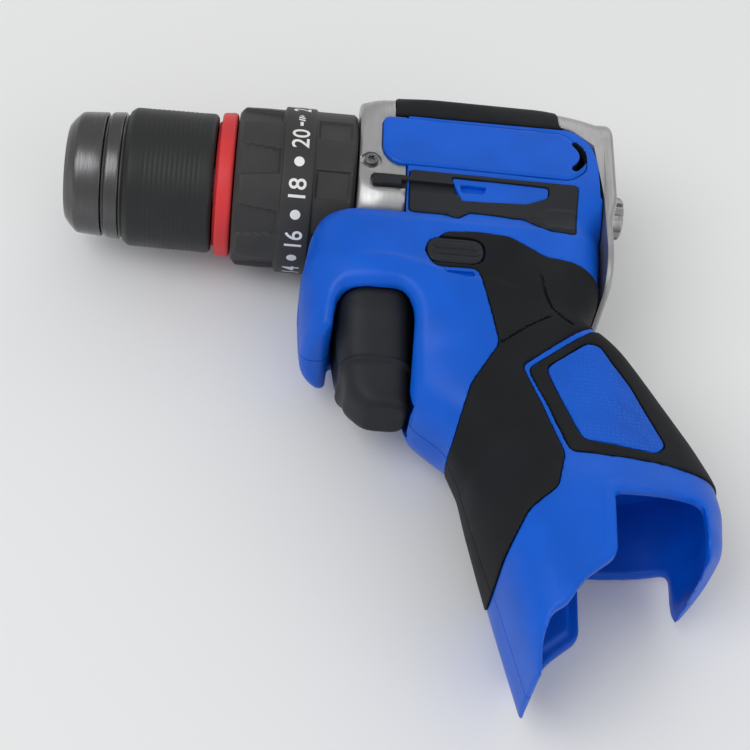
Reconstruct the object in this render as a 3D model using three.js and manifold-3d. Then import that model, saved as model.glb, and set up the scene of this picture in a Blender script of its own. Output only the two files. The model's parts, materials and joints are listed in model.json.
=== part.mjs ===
// Cordless drill, lying on its right flank. Millimetres.
// Tool frame: X runs along the chuck axis with the chuck towards -X, Y is up the tool from the handle,
// Z is across the tool with its left flank up. The chuck axis is y = 0, z = 0 until the last lines,
// which stand the part on the floor and centre it.
import * as THREE from 'three';
import { mergeVertices } from 'three/addons/utils/BufferGeometryUtils.js';
import Module from 'manifold-3d';

const wasm = await Module();
wasm.setup();

// ---- driving dimensions ----

const gap = 0.3;                 // between pieces that seat on each other
const halfWidth = 28;            // mid-plane to the flat flanks
const wall = 3;                  // moulded housing wall
const skinProud = 0.6;           // panels and soft grips stand this far out of the housing
const skinDepth = 1.6;           // and reach this far into it

// chuck, from its tip back
const chuckTip = -91;
const noseLength = 11.5;
const noseRadius = 19.6;
const sleeveRadius = 22;
const sleeveBack = -47.5;
const chuckCoreRadius = 17.6;
const ringRadius = 22.8;
const ringLength = 6;
const jawRadius = 3;
const jawLength = 28;
const jawTilt = THREE.MathUtils.degToRad(18);
const jawTravel = 11;
const jawReach = 2.6;            // jaw centre line from the axis, at the tip

// torque collar
const collarBack = -0.6;
const collarFront = -39;
const collarRadius = 26.5;
const collarGripRadius = 25.4;
const collarInner = 22.4;
const collarSteps = 21;          // twenty torque steps and the drilling mark

// gear case, gears and spindle
const caseFront = 0;
const caseLength = 14.5;
const caseBack = 26.8;
const spigotRadius = 22.9;
const ringGearOuter = 21;
const gearModule = 0.8;
const sunTeeth = 12;
const planetTeeth = 15;
const ringTeeth = sunTeeth + 2 * planetTeeth;
const planetCount = 3;
const pressureAngle = THREE.MathUtils.degToRad(25);
const backlash = 0.3;
const planetBore = 1.7;
const planetWidth = 5.2;
const carrierPlate = 2.4;
const carrierRadius = 10.4;
const outputPlateX = 4.6;
const spindleRadius = 5;
const noseTubeOuter = 14.5;
const bearingOuter = 11;
const bearingWidth = 7;
const bearingX = -31;
const springRadius = 18.4;
const springWire = 0.9;
const springTurns = 4;

// motor
const motorFront = 28.4;
const motorLength = 38;
const motorRadius = 18.5;
const canWall = 1.6;
const magnetThickness = 2.6;
const rotorRadius = 12.6;
const shaftRadius = 1.6;
const fanRadius = 16.5;
const fanThickness = 4;
const fanBlades = 7;

// barrel of the housing
const housingRear = 76;
const barrelHeight = 28;         // axis to the top of the barrel
const rearCapThickness = 4.2;
const rearCapTop = 23;
const rearCapBottom = -44;
const rearCapHalf = 22;
const hubRadius = 8.5;
const hubLength = 7;

// handle
const toeX = 64;                 // where the flat toe meets the slanted base
const toeY = -170;
const heelX = 97;
const heelY = -139;
const heelBack = 109;
const latchTop = -119;
const latchFront = 73;

// controls
const triggerFront = -5;
const triggerBack = 19;
const triggerTop = -50.5;
const triggerBottom = -85;
const triggerHalf = 12;
const triggerTravel = 6;
const leverX = 29.5;
const leverY = -41;
const leverLength = 17;
const leverHeight = 9;
const leverInset = 0.5;          // below the flank, in its middle place
const leverTravel = 3;
const selectorX = 38;
const selectorLength = 15;
const selectorHalf = 6;
const selectorTop = 30.6;
const selectorTravel = 7;

// trigger switch, terminal block and work light
const switchX0 = 27;
const switchX1 = 57;
const switchY0 = -80;
const switchY1 = -52;
const switchHalf = 10;
const terminalX0 = 46;
const terminalX1 = 80;
const terminalY0 = -98;
const terminalY1 = -92;
const terminalHalf = 15;
const contactPlaces = [56, 74];
const contactHalfWidth = 4;
const contactThickness = 1;
const contactReach = 9;          // below the terminal block
const ledX = -16.6;
const ledY = -50;
const ledRadius = 2.6;
const ledLength = 7;

// fasteners
const caseScrewX = 3.6;
const caseScrewY = -6.5;
const caseScrewSeat = 24.6;
const caseScrewHead = 2.2;
const screwHead = 3;
const screwShank = 1.5;
const screwHeadZ = -16;
const screwTipZ = 12;
const bossRadius = 4.4;

// ---- materials ----

function finish(color, roughness, metalness = 0) {
  return new THREE.MeshStandardMaterial({ color, roughness, metalness });
}

const blue = finish(0x0560d2, 0.42);
const black = finish(0x1d1e20, 0.6);
const rubber = finish(0x232427, 0.85);
const silver = finish(0xb9b8b4, 0.4, 0.3);
const steel = finish(0x8f9296, 0.3, 0.9);
const darkSteel = finish(0x3c3d40, 0.35, 0.8);
const red = finish(0xcf2a2c, 0.45);
const copper = finish(0xb8702e, 0.35, 0.9);
const clear = finish(0xe8eef2, 0.1);
const magnet = finish(0x55565a, 0.7, 0.4);
const insulation = finish(0x161616, 0.6);

// ---- shape helpers ----

// A closed three.js geometry as a manifold solid with its faces pointing out.
function solid(geometry) {
  const bare = geometry.clone();
  bare.deleteAttribute('normal');
  bare.deleteAttribute('uv');
  const merged = mergeVertices(bare, 1e-4);
  const vertProperties = new Float32Array(merged.attributes.position.array);
  const corners = Array.from(merged.index.array);
  const triVerts = new Uint32Array(corners.filter((_, i) => {
    const [a, b, c] = corners.slice(i - (i % 3), i - (i % 3) + 3);
    return a !== b && b !== c && c !== a;
  }));
  let shape = new wasm.Manifold(new wasm.Mesh({ numProp: 3, vertProperties, triVerts }));
  if (shape.volume() < 0) {
    const flipped = triVerts.slice().reverse();
    shape = new wasm.Manifold(new wasm.Mesh({ numProp: 3, vertProperties, triVerts: flipped }));
  }
  return shape;
}

function toGeometry(shape) {
  const mesh = shape.getMesh();
  const geometry = new THREE.BufferGeometry();
  geometry.setAttribute('position', new THREE.BufferAttribute(new Float32Array(mesh.vertProperties), 3));
  geometry.setIndex(new THREE.BufferAttribute(new Uint32Array(mesh.triVerts), 1));
  geometry.computeVertexNormals();
  return geometry;
}

function join(shapes) {
  return shapes.reduce((sum, shape) => sum.add(shape));
}

// Turned about the X axis. Points are [x, radius], closed on the axis or on themselves.
function turned(points, sides = 24) {
  const profile = points.map(([x, r]) => new THREE.Vector2(r, x));
  return solid(new THREE.LatheGeometry(profile, sides).rotateZ(-Math.PI / 2));
}

function rod(x0, x1, radius, sides = 24, y = 0, z = 0) {
  const geometry = new THREE.CylinderGeometry(radius, radius, x1 - x0, sides).rotateZ(Math.PI / 2);
  return solid(geometry.translate((x0 + x1) / 2, y, z));
}

function tube(x0, x1, inner, outer, sides = 24) {
  return turned([[x0, inner], [x1, inner], [x1, outer], [x0, outer], [x0, inner]], sides);
}

function post(x, y, z0, z1, radius, sides = 10) {
  const geometry = new THREE.CylinderGeometry(radius, radius, z1 - z0, sides).rotateX(Math.PI / 2);
  return solid(geometry.translate(x, y, (z0 + z1) / 2));
}

function block(x0, x1, y0, y1, z0, z1) {
  const geometry = new THREE.BoxGeometry(x1 - x0, y1 - y0, z1 - z0);
  return solid(geometry.translate((x0 + x1) / 2, (y0 + y1) / 2, (z0 + z1) / 2));
}

// A side-view outline with its corners rounded, as points.
function outline(corners, radius, segments = 1) {
  const shape = new THREE.Shape();
  const count = corners.length;
  corners.forEach(([x, y], i) => {
    const here = new THREE.Vector2(x, y);
    const before = new THREE.Vector2(...corners[(i + count - 1) % count]).sub(here);
    const after = new THREE.Vector2(...corners[(i + 1) % count]).sub(here);
    const cut = Math.min(radius, before.length() / 2.1, after.length() / 2.1);
    const start = before.setLength(cut).add(here);
    const end = after.setLength(cut).add(here);
    if (i === 0) shape.moveTo(start.x, start.y);
    else shape.lineTo(start.x, start.y);
    shape.quadraticCurveTo(here.x, here.y, end.x, end.y);
  });
  return shape.getPoints(segments).slice(0, -1);
}

// The same outline moved out by a distance, or in where it is negative.
function grown(points, distance) {
  const spin = THREE.ShapeUtils.isClockWise(points) ? -1 : 1;
  return points.map((here, i) => {
    const before = points[(i + points.length - 1) % points.length];
    const after = points[(i + 1) % points.length];
    const a = here.clone().sub(before).normalize();
    const b = after.clone().sub(here).normalize();
    const out = new THREE.Vector2(a.y + b.y, -a.x - b.x).divideScalar(1 + Math.max(a.dot(b), -0.5));
    return out.multiplyScalar(spin * distance).add(here);
  });
}

function prism(points, z0, z1) {
  const geometry = new THREE.ExtrudeGeometry(new THREE.Shape(points), { depth: z1 - z0, bevelEnabled: false });
  return solid(geometry.translate(0, 0, z0));
}

// A closed skin: each station is a superellipse ring, placed by the function that maps it.
// A station's last value is its squareness: 2 is an ellipse, and more is squarer.
function loft(stations, sides, place) {
  const rows = stations.length - 1;
  const geometry = new THREE.CylinderGeometry(1, 1, 1, sides, rows);
  const position = geometry.attributes.position;
  for (let i = 0; i < position.count; i += 1) {
    const station = stations[Math.round((0.5 - position.getY(i)) * rows)];
    const bend = (value) => Math.sign(value) * Math.abs(value) ** (2 / station.at(-1));
    position.setXYZ(i, ...place(station, bend(position.getX(i)), bend(position.getZ(i))));
  }
  return solid(geometry);
}

// A round cord or lead through its points.
function lead(points, radius, steps, sides = 8) {
  const path = new THREE.CatmullRomCurve3(points.map((p) => new THREE.Vector3(...p)));
  const round = new THREE.Shape();
  round.absarc(0, 0, radius, 0, Math.PI * 2);
  const options = { steps, extrudePath: path, curveSegments: sides / 2, bevelEnabled: false };
  return solid(new THREE.ExtrudeGeometry(round, options));
}

const drill = new THREE.Group();

function add(name, shape, material) {
  const mesh = new THREE.Mesh(toGeometry(shape), material);
  mesh.name = name;
  drill.add(mesh);
}

// ---- the body's outer skin ----

// Barrel stations: x, half height, half width, squareness.
const barrelShape = [
  [caseFront, barrelHeight - 2, halfWidth - 2, 3],
  [caseFront + 5, barrelHeight - 0.6, halfWidth - 0.6, 3.2],
  [22, barrelHeight, halfWidth + 0.5, 3.2],
  [58, barrelHeight - 0.4, halfWidth + 0.5, 3.2],
  [70, barrelHeight - 2, halfWidth - 1, 3.2],
  [housingRear, barrelHeight - 4.5, halfWidth - 3.5, 3],
];

function barrel(offset) {
  const place = ([x, up, side], u, v) => [x, u * (up + offset), v * (side + offset)];
  return loft(barrelShape, 16, place);
}

// Handle stations: y, front x, rear x, half width, squareness.
const handleShape = [
  [-12, -8, 74, halfWidth - 2.4, 3],
  [-21, -11, 75, halfWidth - 1.5, 3],
  [-30, -15.5, housingRear, halfWidth + 0.6, 3],
  [-44, -17.5, 75, halfWidth + 0.6, 3],
  [-53, -16.5, 71.5, halfWidth - 0.4, 2.9],
  [-59, -15.6, 68.6, halfWidth - 1.6, 2.8],
  [-65, -14.4, 73, halfWidth - 2.8, 2.7],
  [-67, 12, 74.6, halfWidth - 3.6, 2.6],
  [-72, 15.5, 81, halfWidth - 5, 2.5],
  [-82, 14.5, 87, halfWidth - 5.6, 2.5],
  [-88, 20, 90, halfWidth - 5.6, 2.5],
  [-95, 31, 95, halfWidth - 5, 2.5],
  [-106, 34.5, 105, halfWidth - 3.4, 2.6],
  [-116, 37, heelBack, halfWidth - 1.4, 2.8],
  [-128, 40.5, heelBack - 1.5, halfWidth + 0.5, 3],
  [-142, 44.5, heelBack - 8, halfWidth + 0.5, 3.2],
  [-156, 48.5, heelBack - 13, halfWidth - 1, 3.4],
  [toeY - 2, 53, heelBack - 19, halfWidth - 3.5, 3.6],
];

function handle(offset) {
  const place = ([y, front, rear, side], u, v) => {
    const middle = (front + rear) / 2;
    return [middle + u * (rear - middle + offset), y, v * (side + offset)];
  };
  return loft(handleShape, 16, place);
}

const flanks = block(-200, 200, -300, 100, -halfWidth, halfWidth);

function skin(offset) {
  return barrel(offset).add(handle(offset));
}

const skinOut = skin(skinProud).intersect(flanks);
const skinZero = skin(0).intersect(flanks);
const skinIn = skin(-skinDepth);
const skinPocket = skin(-skinDepth - gap);

// The arch is cut right through both flanks round the trigger, with a wall of its own inside.
const triggerArch = outline([
  [-4.5, -100], [-5.3, -62.8], [-4.4, -53.4], [14.6, -53.4], [18.4, -60], [18.4, -79], [15, -91], [5, -100],
], 4, 2);
const archSolid = prism(triggerArch, -60, 60);
const hollow = skin(-wall).subtract(prism(grown(triggerArch, wall), -60, 60));

// Below this slanted plane, from toe to heel, the handle is cut away.
const baseAngle = Math.atan2(heelY - toeY, heelX - toeX);
const belowBase = solid(new THREE.BoxGeometry(260, 120, 90)
  .translate(130, -60, 0)
  .rotateZ(baseAngle)
  .translate(toeX, toeY, 0)).add(block(-200, 200, toeY - 100, toeY, -60, 60));

// ---- side-view outlines of panels and grips ----

const upperPanel = outline([[7, 11.5], [7, -3], [11, -7.6], [66, -8.4], [71, -4], [71, 4], [64, 10.5]], 2.5);
const ventPanel = outline([
  [15.5, -10], [68, -10.6], [66.5, -30], [58, -30], [51, -26], [34, -25], [30, -28], [27, -26.4], [15.5, -26.4],
], 1.5);
const ventStrip = outline([[28, -12], [59, -13], [52, -21], [31, -20]], 1.5);
const gripFront = outline([
  [28, -33.5], [46, -33.5], [57, -40.5], [68, -41], [90, -48], [70, -58], [66, -64], [49, -76], [61, -107],
  [58, -119], [50, -126], [44, -138], [42, -150], [20, -150], [20, -99], [31, -98], [35, -84], [43, -71],
  [36, -47], [28, -47],
], 3);
const gripBack = outline([[69, -65.5], [52, -77], [64, -105.5], [97, -108], [130, -106], [100, -60]], 2.5);
const gripInlay = outline([[57, -78.5], [69.5, -69.5], [75, -70], [90.5, -101], [87, -104], [66, -101.5]], 2);

const coverBottom = 12.6;
const selectorWindow = block(selectorX - gap, selectorX + selectorLength + gap,
  15, 60, -selectorHalf - gap, selectorHalf + gap);

// ---- housing halves ----

const motorRest = rod(caseBack - 1, motorFront + motorLength + 0.5, motorRadius + gap);
const screwPlaces = [[-8, -44], [71.4, -36], [31.5, barrelHeight - bossRadius], [62.6, -60], [33, -90]];

// Upright ribs carry the gear case and the motor, level ones the switch and the terminal block.
const ribThickness = 2.2;
const uprightRibs = [20, 34, 60].map((x) => block(x, x + ribThickness, -33, 40, -40, 40));
const switchRibs = [-60, -74].map((y) => block(switchX0 - 1, switchX1 + 3, y, y + ribThickness, -40, 40));
const terminalRib = block(30, 110, terminalY0 + 1, terminalY1 - 1, -40, 40);
const ribClearances = join([
  rod(-5, caseBack + 0.6, spigotRadius + gap),
  motorRest,
  block(switchX0 - 30, switchX1 + gap, switchY0 - gap, switchY1 + gap, -switchHalf - gap, switchHalf + gap),
  block(terminalX0 - gap, terminalX1 + gap, -120, -80, -terminalHalf - gap, terminalHalf + gap),
]);
const ribs = join([...uprightRibs, ...switchRibs, terminalRib])
  .intersect(skin(-wall + 0.5))
  .subtract(ribClearances);

const latchNotch = outline([
  [latchFront, latchTop], [100, latchTop + 0.5], [100, heelY + 6], [104, heelY - 20], [toeX, toeY - 12],
  [58, toeY - 3], [58, -160], [62, -150], [latchFront, heelY],
], 4, 3);

// The trigger slides in an opening behind the wall of the nose.
const triggerRoom = 0.5;
const triggerOpening = block(triggerFront - 3.5, triggerBack + triggerTravel + 1,
  triggerBottom - triggerRoom, triggerTop + triggerRoom, -triggerHalf - triggerRoom, triggerHalf + triggerRoom);

const leverOutline = outline([
  [leverX - leverLength / 2, leverY - leverHeight / 2], [leverX + leverLength / 2, leverY - leverHeight / 2],
  [leverX + leverLength / 2, leverY + leverHeight / 2], [leverX - leverLength / 2, leverY + leverHeight / 2],
], leverHeight / 2, 3);
const leverHole = prism(grown(leverOutline, gap), -60, 60);

const collarRoom = rod(-80, caseFront + 0.5, collarRadius + 1.2, 24);
const gearCaseRoom = block(-60, caseFront + caseLength + gap, -26.6, 60, -60, 60);
const spigotRoom = rod(caseFront, caseBack + gap, spigotRadius + gap, 24);
const rearCut = block(housingRear, 200, rearCapBottom - 1.5, 60, -60, 60);
const ledHole = rod(ledX - 1, ledX + ledLength + 1, ledRadius + gap, 12, ledY);

function pocket(points) {
  return prism(grown(points, gap), -60, 60).subtract(skinPocket);
}

// The blue strip in the middle of the vent panel is the housing itself, left standing in the pocket.
const ventStripSolid = prism(ventStrip, -60, 60);

const coverFront = caseFront + 11;
const coverRear = housingRear - 1;
const coverPocket = block(coverFront - gap, coverRear + gap, coverBottom - gap, 60, -60, 60).subtract(skinPocket);

const bosses = join(screwPlaces.map(([x, y]) => post(x, y, -60, 60, bossRadius))).intersect(skin(-0.5));
const hollowed = skinZero.subtract(hollow).add(ribs).add(bosses.subtract(ribClearances));
const cuts = join([
  collarRoom, gearCaseRoom, spigotRoom, rearCut, belowBase, triggerOpening, archSolid, leverHole, ledHole, selectorWindow,
  coverPocket, pocket(upperPanel), pocket(ventPanel).subtract(ventStripSolid), pocket(gripFront),
  pocket(gripBack), prism(latchNotch, -60, 60),
]);
const housing = hollowed.subtract(cuts);

const leftSide = block(-200, 200, -300, 100, gap / 2, 100);
const rightSide = block(-200, 200, -300, 100, -100, -gap / 2);
const pilotHoles = join(screwPlaces.map(([x, y]) => post(x, y, -1, screwTipZ + 1, screwShank + gap, 8)));
const screwWays = join(screwPlaces.flatMap(([x, y]) => [
  post(x, y, -60, screwHeadZ + gap, screwHead + gap, 10),
  post(x, y, -40, 1, screwShank + gap, 8),
]));
add('housing_left', housing.intersect(leftSide).subtract(pilotHoles), blue);
add('housing_right', housing.intersect(rightSide).subtract(screwWays), blue);

// ---- gear case and its screws ----

const caseFlange = barrel(0).intersect(block(caseFront, caseFront + caseLength, -26.2, 60, -halfWidth, halfWidth));
const noseTube = tube(collarFront + 3, caseFront + 1, bearingOuter + gap, noseTubeOuter);
const spigot = rod(caseFront + 1, caseBack, spigotRadius, 24);
const caseBore = rod(caseFront + 3, caseBack + 1, ringGearOuter + gap, 24);
const caseMouth = rod(caseFront - 1, caseFront + 4, bearingOuter + gap);
const caseScrewWays = [[caseScrewSeat, 40], [-40, -caseScrewSeat]].map(([z0, z1]) => {
  return post(caseScrewX, caseScrewY, z0, z1, caseScrewHead + gap, 14);
});
const upperPocket = pocket(upperPanel);
add('gear_case', caseFlange.add(noseTube).add(spigot)
  .subtract(join([caseBore, caseMouth, upperPocket, coverPocket, ...caseScrewWays])), silver);
const caseScrew = turned([
  [0, 0], [0, caseScrewHead], [1.1, caseScrewHead], [1.6, caseScrewHead - 0.5], [1.6, 0.9], [0.7, 0.9], [0.7, 0],
], 10);
[1, -1].forEach((side) => {
  const seat = side * (caseScrewSeat + 0.02);
  const seated = caseScrew.rotate([0, side * -90, 0]).translate([caseScrewX, caseScrewY, seat]);
  add(side > 0 ? 'gear_case_screw_left' : 'gear_case_screw_right', seated, steel);
});

// ---- panels, grips and cover ----

function panel(points, proud = skinOut) {
  return prism(points, -60, 60).intersect(proud).subtract(skinIn);
}

const screwHoles = join(screwPlaces.map(([x, y]) => post(x, y, -60, -10, screwHead + 0.6)));
const slotCurve = outline([[66.3, 3.6], [67.6, 3.6], [68.4, 0], [67.4, -4], [66, -4], [66.8, 0]], 0.5, 1);
const upperBoth = panel(upperPanel).subtract(prism(slotCurve, -60, 60));
const ventBoth = panel(ventPanel).subtract(prism(grown(ventStrip, gap), -60, 60));
const leverScoop = prism(grown(leverOutline, 1.4), -60, 60);
const frontBoth = panel(gripFront).subtract(join([leverScoop, triggerOpening, belowBase, rearCut]));
const inlayHole = prism(grown(gripInlay, gap), -60, 60);
const backBoth = panel(gripBack).subtract(inlayHole);
const inlayBoth = panel(gripInlay, skin(skinProud - 0.2));
const pairs = [
  ['upper_panel', upperBoth, blue],
  ['vent_panel', ventBoth, black],
  ['grip_front', frontBoth.subtract(screwHoles), rubber],
  ['grip_back', backBoth, rubber],
  ['grip_inlay', inlayBoth, blue],
];
pairs.forEach(([name, both, material]) => {
  add(`${name}_left`, both.intersect(leftSide), material);
  add(`${name}_right`, both.intersect(rightSide), material);
});
const coverBlock = block(coverFront, coverRear, coverBottom, 60, -60, 60);
add('top_cover', coverBlock.intersect(skinOut).subtract(join([skinIn, selectorWindow, screwHoles])), rubber);

// ---- rear cap and hub ----

function rearOutline(inset) {
  const top = rearCapTop - inset;
  const bottom = rearCapBottom + inset;
  const side = rearCapHalf - inset;
  return outline([[side, bottom], [side, top], [-side, top], [-side, bottom]], 12, 4);
}

const capOptions = {
  depth: rearCapThickness - 2, bevelThickness: 2, bevelSize: 2, bevelOffset: -2, bevelSegments: 2,
};
const capBlank = solid(new THREE.ExtrudeGeometry(new THREE.Shape(rearOutline(0)), capOptions).rotateY(Math.PI / 2)
  .translate(housingRear + gap, 0, 0)).intersect(block(housingRear + gap, 200, -100, 100, -60, 60));
const capBack = housingRear + gap + rearCapThickness;
const hubBack = capBack + hubLength;
const hub = turned([
  [capBack - 1, 0], [capBack - 1, hubRadius], [hubBack - 1.5, hubRadius - 0.6], [hubBack, hubRadius - 2],
  [hubBack, 3.4], [hubBack - 2, 3], [hubBack - 2, 0],
], 24);
add('rear_cap', capBlank.add(hub), silver);

// ---- case screws ----

const screw = turned([
  [screwHeadZ - 2.4, 0], [screwHeadZ - 2.4, screwHead], [screwHeadZ, screwHead], [screwHeadZ, screwShank],
  [screwTipZ - 2, screwShank], [screwTipZ, 0],
], 10).rotate([0, -90, 0]);
screwPlaces.forEach(([x, y], i) => add(`case_screw_${i + 1}`, screw.translate([x, y, 0]), darkSteel));

// ---- controls ----

const triggerShape = [
  [triggerTop, triggerFront + 3, triggerHalf - 2, 3],
  [triggerTop - 3, triggerFront + 0.4, triggerHalf, 3],
  [triggerTop - 12, triggerFront + 1.2, triggerHalf, 3],
  [triggerTop - 22, triggerFront + 5, triggerHalf, 3],
  [triggerBottom + 3, triggerFront + 8.6, triggerHalf - 0.6, 3],
  [triggerBottom, triggerFront + 12, triggerHalf - 2.6, 3],
];
const triggerSkin = loft(triggerShape, 20, ([y, front, side], u, v) => {
  const middle = (front + triggerBack) / 2;
  return [middle + u * (triggerBack - middle), y, v * side];
});
const stemY = (switchY0 + switchY1) / 2;
const triggerStem = block(triggerBack - 2, switchX0 - gap, stemY - 4, stemY + 4, -4, 4);
const stemWay = block(switchX0 - 1, switchX0 + triggerTravel + 1, stemY - 4.4, stemY + 4.4, -4.4, 4.4);
add('trigger', triggerSkin.add(triggerStem), black);
add('trigger_switch', block(switchX0, switchX1, switchY0, switchY1, -switchHalf, switchHalf).subtract(stemWay), black);

// Two pads on one bar right through the handle; each pad stays in its hole over the whole travel.
const padOuter = halfWidth - leverInset;
const padInner = padOuter - wall - leverTravel - 1.6;
const leverBar = block(leverX - 5, leverX + 5, leverY - 3, leverY + 3, -padInner - 0.1, padInner + 0.1);
const leverPads = prism(leverOutline, -padOuter, padOuter)
  .subtract(block(-100, 100, -100, 100, -padInner, padInner));
add('direction_lever', leverPads.add(leverBar), black);

const selectorFoot = 22.6;
const selectorRear = selectorX + selectorLength - selectorTravel;
const ridgeRise = 0.8;
const ridges = join([1, 2, 3].map((i) => block(selectorX + i * 2 - 0.6, selectorX + i * 2 + 0.4,
  selectorTop - 1, selectorTop + ridgeRise, -selectorHalf + 1.2, selectorHalf - 1.2)));
add('speed_selector', block(selectorX, selectorRear, selectorFoot, selectorTop, -selectorHalf, selectorHalf)
  .add(ridges), black);
add('work_light_lens', turned([
  [ledX, 0], [ledX + 1, ledRadius], [ledX + ledLength, ledRadius], [ledX + ledLength, 0],
], 12).translate([0, ledY, 0]), clear);

// ---- torque collar ----

const collarProfile = [
  [collarFront, noseTubeOuter + gap], [collarFront, collarGripRadius - 1.2], [collarFront + 1.2, collarGripRadius],
  [-23.6, collarGripRadius], [-23, collarRadius], [-13.8, collarRadius], [-13.2, collarRadius - 0.7],
  [collarBack - 1, collarRadius - 0.7], [collarBack, collarRadius - 1.7], [collarBack, collarInner],
  [collarFront + 2.4, collarInner], [collarFront + 2.4, noseTubeOuter + gap], [collarFront, noseTubeOuter + gap],
];
const flute = (x0, x1, radius) => block(x0, x1, radius - 0.9, radius + 2, -0.7, 0.7);
const flutes = [];
for (let i = 0; i < collarSteps; i += 1) {
  const turn = (360 / collarSteps) * (i + 0.5);
  flutes.push(flute(collarFront + 2.5, -25, collarGripRadius).rotate([turn, 0, 0]));
}
add('torque_collar', turned(collarProfile, collarSteps).subtract(join(flutes)), black);

// ---- spindle, bearing, clutch ----

const planetOrbit = gearModule * (sunTeeth + planetTeeth) / 2;
const outputPlanetX = outputPlateX + carrierPlate + 0.6;
const firstPlateX = outputPlanetX + planetWidth + 1.4;
const firstPlanetX = firstPlateX + carrierPlate + 0.6;
const pinRadius = planetBore - 0.25;
const planetAngles = Array.from({ length: planetCount }, (_, i) => (Math.PI * 2 * i) / planetCount);

// Straight-flanked gear outline; tooth 0 points along +Y. Positive extra thickens every tooth.
function gearShape(teeth, tipAdd, rootDrop, extra) {
  const pitchRadius = (gearModule * teeth) / 2;
  const baseRadius = pitchRadius * Math.cos(pressureAngle);
  const involute = (angle) => Math.tan(angle) - angle;
  const half = (radius) => {
    const angle = Math.acos(Math.min(1, baseRadius / radius));
    return Math.PI / 2 / teeth + involute(pressureAngle) - involute(angle) + extra / 2 / pitchRadius;
  };
  const tip = pitchRadius + tipAdd;
  const root = pitchRadius - rootDrop;
  const rootHalf = half(Math.max(root, baseRadius));
  const points = [];
  for (let i = 0; i < teeth; i += 1) {
    const middle = (Math.PI * 2 * i) / teeth;
    [[root, -rootHalf], [tip, -half(tip)], [tip, half(tip)], [root, rootHalf]].forEach(([radius, turn]) => {
      points.push(new THREE.Vector2(radius * Math.sin(middle + turn), radius * Math.cos(middle + turn)));
    });
  }
  return points;
}

// A 2-D outline in the Y-Z plane, pushed along X.
function pushed(points, x0, x1) {
  return prism(points, 0, x1 - x0).rotate([0, 90, 0]).translate([x0, 0, 0]);
}

function gear(teeth, x0, x1) {
  return pushed(gearShape(teeth, gearModule * 0.9, gearModule * 1.2, -backlash), x0, x1);
}

function onOrbit(shape, angle) {
  return shape.rotate([THREE.MathUtils.radToDeg(angle), 0, 0]);
}

const ringSpace = pushed(gearShape(ringTeeth, gearModule * 1.2, gearModule * 0.75, backlash), 0, 60);
const ringGearBack = firstPlanetX + planetWidth + 0.4;
add('ring_gear', rod(caseFront + 3 + gap, ringGearBack, ringGearOuter, 24).subtract(ringSpace), steel);

function carrier(plateX, boreRadius, pinEnd) {
  const pins = planetAngles.map((angle) => onOrbit(rod(plateX + 0.5, pinEnd, pinRadius, 8, planetOrbit), angle));
  return join([rod(plateX, plateX + carrierPlate, carrierRadius, 20), ...pins])
    .subtract(rod(plateX - 1, plateX + carrierPlate + 1, boreRadius, 24));
}

function planet(x) {
  return gear(planetTeeth, x, x + planetWidth).subtract(rod(x - 1, x + planetWidth + 1, planetBore, 8))
    .translate([0, planetOrbit, 0]);
}

const outputPinEnd = outputPlanetX + planetWidth + 0.3;
const firstPinEnd = firstPlanetX + planetWidth + 0.3;
add('output_carrier', carrier(outputPlateX, spindleRadius + gap, outputPinEnd), steel);
add('first_carrier', rod(firstPlateX, firstPlateX + carrierPlate, carrierRadius, 20)
  .add(gear(sunTeeth, outputPlanetX + 0.2, firstPlateX + 0.5))
  .add(join(planetAngles.map((a) => onOrbit(rod(firstPlateX + 0.5, firstPinEnd, pinRadius, 8, planetOrbit), a)))),
steel);
planetAngles.forEach((angle, i) => {
  add(`output_planet_${i + 1}`, onOrbit(planet(outputPlanetX), angle), steel);
  add(`first_planet_${i + 1}`, onOrbit(planet(firstPlanetX), angle), steel);
});

const chuckBack = sleeveBack + 0.5;
const spindleFront = chuckBack - 14;
const spindleNose = 5.6;
add('spindle', turned([
  [spindleFront, 0], [spindleFront, spindleNose], [collarFront - 1, spindleNose], [collarFront - 1, spindleRadius],
  [bearingX + bearingWidth + gap, spindleRadius], [bearingX + bearingWidth + gap, spindleRadius + 1.4],
  [bearingX + bearingWidth + 2, spindleRadius + 1.4], [bearingX + bearingWidth + 2, spindleRadius],
  [outputPlateX + carrierPlate, spindleRadius], [outputPlateX + carrierPlate, 0],
], 24), steel);
add('spindle_bearing', tube(bearingX, bearingX + bearingWidth, spindleRadius + gap, bearingOuter, 20), steel);

const springX0 = -21.6;
const springX1 = -7.4;
const helix = [];
const helixSteps = springTurns * 8;
for (let i = 0; i <= helixSteps; i += 1) {
  const turn = (i / helixSteps) * springTurns * Math.PI * 2;
  const x = springX0 + ((springX1 - springX0) * i) / helixSteps;
  helix.push([x, springRadius * Math.cos(turn), springRadius * Math.sin(turn)]);
}
add('clutch_spring', lead(helix, springWire, helixSteps, 5), steel);
const nutBack = springX0 - springWire - gap;
const plateFront = springX1 + springWire + gap;
add('spring_nut', tube(nutBack - 2.2, nutBack, noseTubeOuter + gap, collarInner - 0.7, 20), black);
add('clutch_plate', tube(plateFront, plateFront + 1.6, noseTubeOuter + gap, collarInner - 1, 20), steel);

// ---- motor ----

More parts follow.
